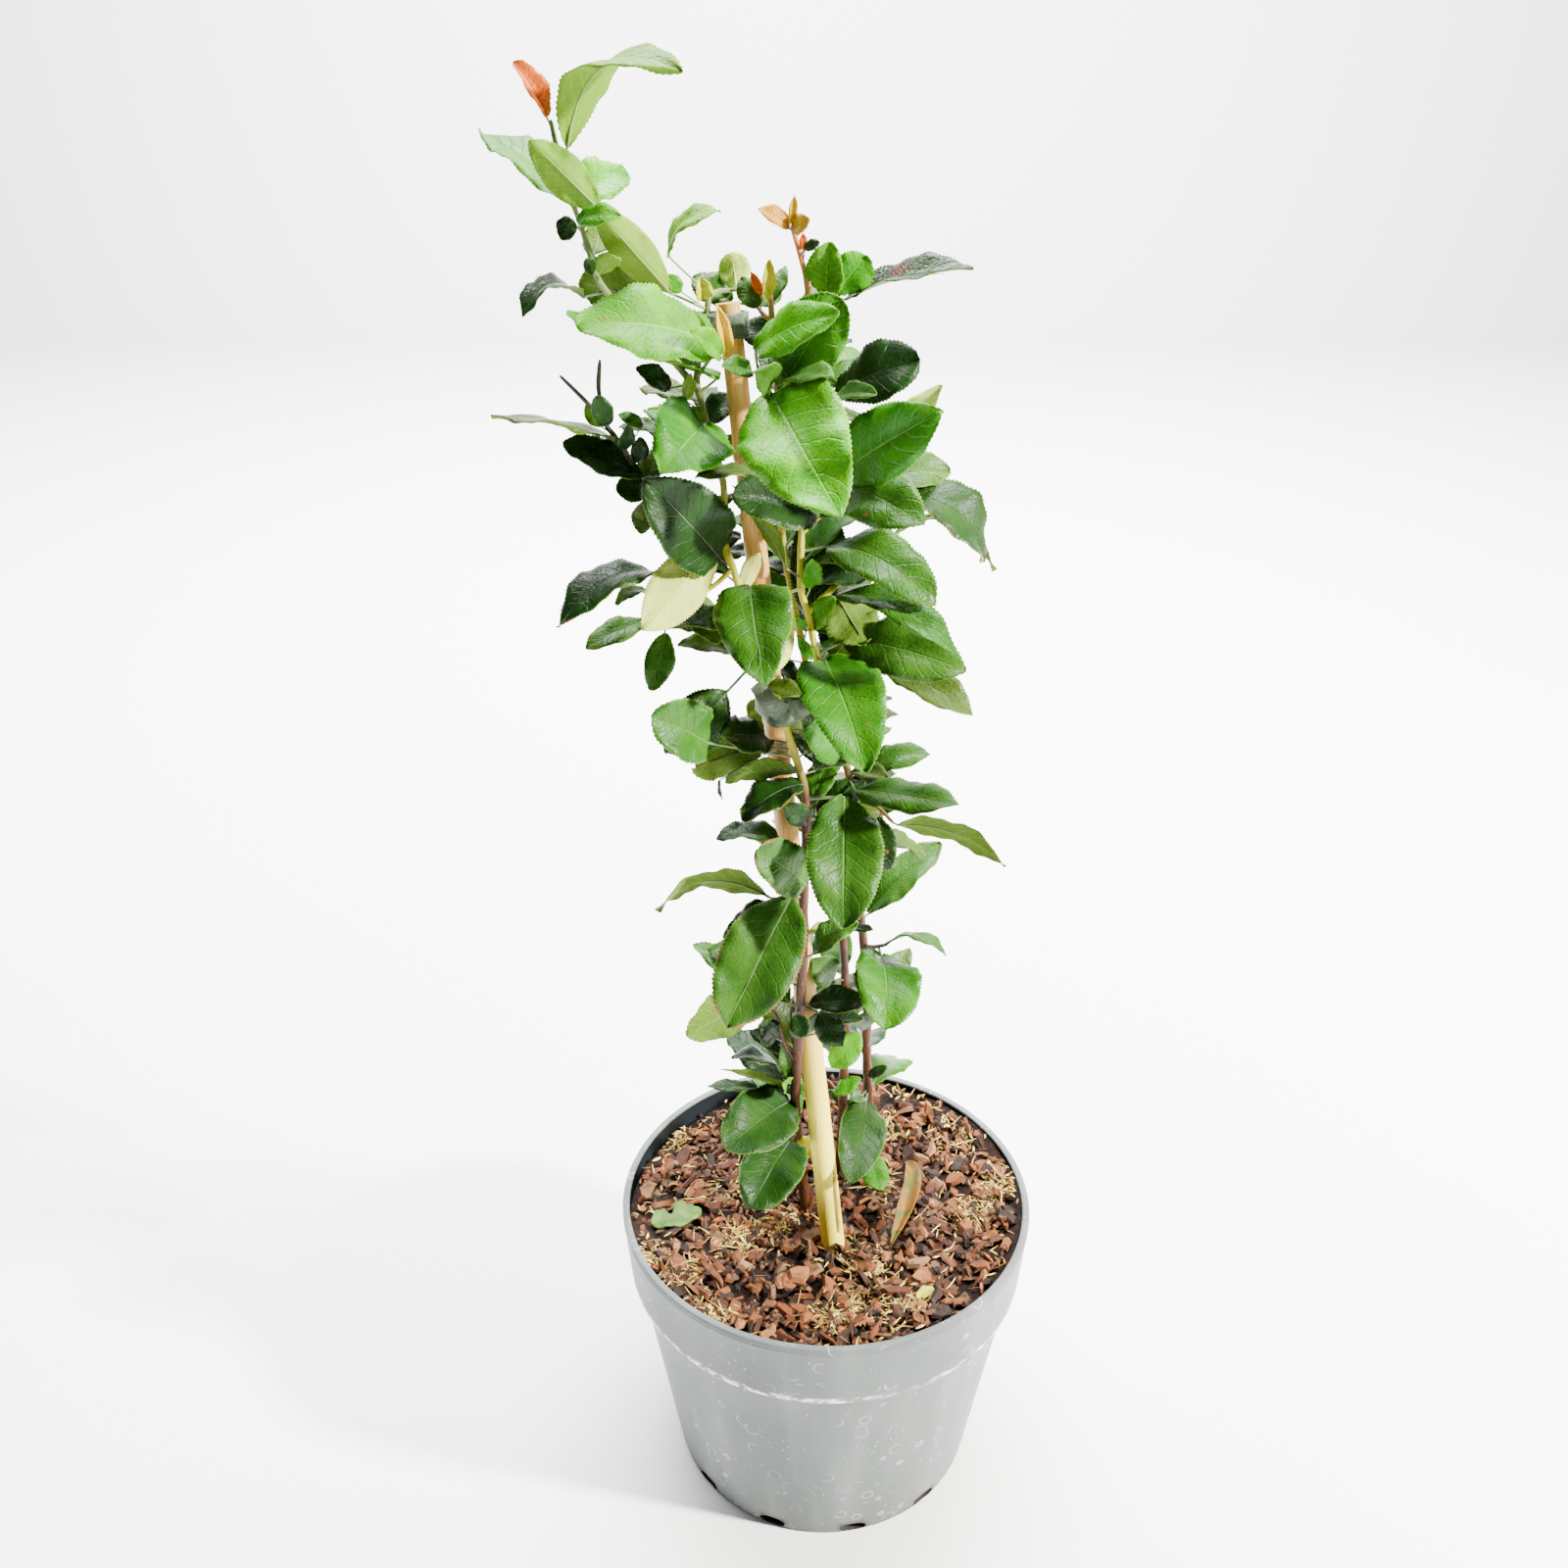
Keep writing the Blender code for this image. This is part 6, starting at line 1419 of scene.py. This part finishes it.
def leaf_finish(name, underside):
    """The leathery skin of a leaf: its green, painted lighter or darker for the light or shade it stands in,
    netted veins, a pale rim and the odd brown spot.
    """
    skin = Finish(name, Specular_IOR_Level=0.08 if underside else 0.16)
    own = skin.attribute("leaf_tone_and_painted_light")
    traits = skin.attribute("leaf_traits")
    seed, young, polish = (traits.part(band) for band in ("Red", "Green", "Blue"))
    u, v = skin.cloth.part("X"), skin.cloth.part("Y")
    across = (u - 0.5).absolute() * 2
    midrib = 1 - across.band(0.010, 0.042)
    wobble = skin.place.speckle(160, 2) * 0.5
    course = v * 8.5 - across * 1.8 + wobble + seed * 3 + (u - 0.5).band(-0.001, 0.001) * 0.42
    stripe = course.zigzag(0.5) * 2
    ribs = (1 - stripe.band(0.0, 0.17)) * (1 - across.band(0.8, 0.97))
    net = skin.place.cells(560, "DISTANCE_TO_EDGE")
    mesh_lines = 1 - net.band(0.02, 0.14)
    blotch = skin.place.speckle(70, 4)
    burnt = None
    for place, reach in burnt_places:
        away = skin.place.node("ShaderNodeVectorMath", {"operation": "DISTANCE"}, 1, i0=skin.place, i1=place)
        patch = 1 - (away + skin.place.speckle(420, 3) * reach).band(reach * 1.2, reach * 1.4)
        burnt = patch if burnt is None else burnt.at_least(patch)
    if underside:
        pale = (0.42 - young * 0.2).mix(own, (0.095, 0.185, 0.016))
        veins = (midrib * 0.9).at_least(ribs * 0.6 + mesh_lines * 0.2)
        colour = (veins * 0.4).mix(pale, (0.28, 0.42, 0.08))
        skin.set(Roughness=0.6, Base_Color=burnt.mix(colour, BURNT))
        skin.bump(veins * 0.9 + skin.place.speckle(900, 2) * 0.25, 0.0002)
        return skin.material
    lighter = own.toned(0.487, 0.95, 1.8)
    darker = own.toned(0.515, 1.0, 0.62)
    colour = blotch.band(0.35, 0.7).mix(darker, own)
    colour = (ribs * 0.12 + mesh_lines * 0.09).mix(colour, lighter)
    colour = (midrib * 0.6).mix(colour, lighter)
    colour = (across.band(0.95, 0.99) * 0.3).mix(colour, (0.24, 0.42, 0.05))
    rim = across + v.band(0.8, 1.0) * 0.3 + skin.place.speckle(240, 3) * 0.4
    colour = (rim.band(1.16, 1.26) * seed.band(0.93, 0.95)).mix(colour, (0.24, 0.09, 0.035))
    spots = skin.place.cells(68)
    colour = ((1 - spots.band(0.045, 0.075)) * 0.7 * (1 - young)).mix(colour, (0.16, 0.07, 0.03))
    colour = burnt.mix(colour, BURNT)
    skin.set(Base_Color=colour, Roughness=0.25 + blotch * 0.18 + polish * 0.14 + young * 0.1)
    quilt = (1 - ribs) * 0.45 + net.band(0.0, 0.4) * 0.25 - midrib * 0.8 + blotch * 0.9
    skin.bump(quilt, 0.00034)
    return skin.material


top_skin = leaf_finish("leaf upper side", False)
under_skin = leaf_finish("leaf underside", True)
stalk_skin = Finish("leaf stalk", Roughness=0.5)
tan = stalk_skin.place.speckle(200).band(0.4, 0.7) * 0.3
stalk_skin.set(Base_Color=tan.mix(stalk_skin.attribute("leaf_tone_and_painted_light"), (0.3, 0.28, 0.08)))


def two_skins(piece, thickness):
    """Give flat blades their thickness, with the underside's own skin."""
    plate = piece.modifiers.new("two skins", "SOLIDIFY")
    plate.thickness = thickness
    plate.offset = -1
    plate.material_offset = 1
    plate.material_offset_rim = 1
    apply_modifiers(piece)


for name in stem_picks:
    blades = join_pieces(leaf_parts[name], name + "_leaves")
    inner = join_pieces(inner_parts[name], name + "_inner_leaves")
    stalks = join_pieces(stalk_parts[name], name + "_stalks")
    bpy.ops.object.shade_smooth_by_angle(angle=math.radians(70))
    stalks.data.materials.append(stalk_skin.material)
    for piece in (blades, inner):
        piece.data.materials.clear()
        piece.data.materials.append(top_skin)
        piece.data.materials.append(under_skin)
        two_skins(piece, LEAF_THICKNESS)
    for piece in (blades, inner, stalks):
        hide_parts(name)
        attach(piece, "root")


# The ties
# Three bands of soft grey-green tape, drawn round the cane and the stems beside it, so that the
# stems stay upright. Two of them have loose ends that stick out in front.

tape = Finish("tie tape", Roughness=0.7, Specular_IOR_Level=0.2)
weave = tape.place.speckle(500, 3)
# partly painted shade: the tape is coloured darker than its own pale grey-green, as it shows in the shade
# among the leaves
tape.set(Base_Color=weave.band(0.3, 0.7).mix((0.046, 0.064, 0.041), (0.085, 0.110, 0.070)))
tape.bump(weave + tape.place.stretched(1, 1, 6).speckle(120, 2), 0.0003)


TAPE_WIDTH = 0.0085
TAPE_SAG = 0.0015
TAPE_THICKNESS = 0.0004


def loose_end(route):
    """A loose end of tape: a flat grid laid along a route, its edges notched, with a thickness."""
    deselect_all()
    count = 24
    bpy.ops.mesh.primitive_grid_add(x_subdivisions=4, y_subdivisions=count, size=1)
    strip = bpy.context.object
    line = curve_through(route, (route[-1] - route[0]).length / count)
    across = (line[-1] - line[0]).normalized().cross(Vector((0, -1, 0.2))).normalized()
    for vertex in strip.data.vertices:
        share, side = vertex.co.y + 0.5, vertex.co.x
        spot = line[min(len(line) - 1, round(share * (len(line) - 1)))]
        notch = 0.0004 * (round(share * count) % 2) * (abs(side) > 0.4)
        vertex.co = spot + across * side * (TAPE_WIDTH * (1 - 0.35 * share) - notch)
        vertex.co.y -= TAPE_SAG * math.sin(math.pi * share) * (1 - 4 * side * side)
    plate = strip.modifiers.new("tape thickness", "SOLIDIFY")
    plate.thickness = TAPE_THICKNESS
    apply_modifiers(strip)
    bpy.ops.object.shade_smooth_by_angle(angle=math.radians(50))
    return strip


# the share of its width that the tape still has where it is gathered round the stems
BAND_GATHER = 0.72
TIE_ENDS = {
    "tie_low": [((872, 1046, -26), (884, 1040, -24), (896, 1030, -26))],
    "tie_middle": [((800, 728, -36), (786, 718, -40), (771, 698, -38)),
                   ((806, 726, -36), (820, 722, -40), (834, 712, -38))],
    "tie_top": [],
}
for name, ends in TIE_ENDS.items():
    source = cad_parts[name]
    band = source.copy()
    band.data = source.data.copy()
    band.parent = None
    band.name = name + "_tape"
    bpy.context.scene.collection.objects.link(band)
    select_only(band)
    bpy.ops.object.mode_set(mode="EDIT")
    bpy.ops.mesh.select_all(action="SELECT")
    bpy.ops.mesh.remove_doubles(threshold=1e-5)
    bpy.ops.mesh.tris_convert_to_quads()
    bpy.ops.mesh.subdivide(number_cuts=3)
    bpy.ops.object.mode_set(mode="OBJECT")
    low, high = (pick(vertex.co.z for vertex in band.data.vertices) for pick in (min, max))
    middle = (low + high) / 2
    for number, vertex in enumerate(band.data.vertices):
        vertex.co.z = middle + (vertex.co.z - middle) * BAND_GATHER
        rise = (vertex.co.z - low) / (high - low) * 2 - 1
        crumple = noise.noise(vertex.co * 260)
        notch = 0.0004 * rise if number % 3 == 0 and abs(rise) > 0.95 else 0
        vertex.co.z += 0.0009 * crumple * rise - notch
        vertex.co.y -= 0.0004 * noise.noise(vertex.co * 190) * (1 - abs(rise))
    parts = [band] + [loose_end([seen(*pick) for pick in picks]) for picks in ends]
    band = join_pieces(parts, name + "_tape")
    bpy.ops.object.shade_smooth_by_angle(angle=math.radians(50))
    band.data.materials.clear()
    band.data.materials.append(tape.material)
    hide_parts(name)
    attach(band, "root")


# The shed leaves
# Three leaves have dropped on the bark: a dry ochre one that has curled up, a limp pale green one
# and a small yellow one.

SHED_LOOKS = {
    "shed_leaf_dry": (0.16, 34, "long", "dry_leaf", ((0.19, 0.075, 0.002), (0.055, 0.062, 0.002))),
    "shed_leaf_green": (0.03, 4, "round", "green_leaf", ((0.030, 0.075, 0.002), (0.066, 0.125, 0.005))),
    "shed_leaf_yellow": (0.05, 12, "round", "yellow_leaf", ((0.42, 0.40, 0.0), (0.28, 0.30, 0.0))),
}
# how far a shed leaf's lowest point stays above the bed, on the flakes
SHED_LIFT = 0.0019
for name, foot, tip, width in SHED_LEAVES:
    arch, fold, form, slot_name, colours = SHED_LOOKS[name]
    foot, tip = seen_on_bark(*foot), seen_on_bark(*tip)
    blade = dict(root=foot, foot=foot, tip=tip, face=UP, width=width, arch=arch, twist=0.0,
                 fold=math.radians(fold), form=form)
    _, rows, columns, model = leaf_models[1]
    shed = new_piece(name + "_blade", shaped_blade(blade, model, rows, columns, 4))
    aside = (tip - foot).cross(UP).normalized()
    for number, vertex in enumerate(shed.data.vertices):
        share, side = number // (columns + 1) / rows, number % (columns + 1) / columns * 2 - 1
        if name == "shed_leaf_green":
            pinch = math.exp(-((share - 0.58) / 0.07) ** 2) * max(0, side)
            vertex.co = vertex.co.lerp(foot.lerp(tip, share), pinch * 0.8)
        if name == "shed_leaf_dry":
            vertex.co += aside * 0.006 * math.sin(math.pi * share)
    drops = []
    for vertex in shed.data.vertices:
        spot, _, _, _ = bed_surface.ray_cast(Vector((vertex.co.x, vertex.co.y, 0.25)), -UP)
        if spot is not None:
            drops.append(vertex.co.z - spot.z)
    shed.data.transform(Matrix.Translation((0, 0, SHED_LIFT - min(drops))))
    skin = Finish(name + " skin", Roughness=0.6, Specular_IOR_Level=0.3)
    skin.set(Base_Color=skin.place.speckle(180, 4).band(0.4, 0.62).mix(*colours))
    skin.bump(skin.place.speckle(420, 4), 0.0006)
    shed.data.materials.clear()
    shed.data.materials.append(skin.material)
    shed.data.materials.append(skin.material)
    two_skins(shed, LEAF_THICKNESS)
    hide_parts(name)
    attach(shed, "root")
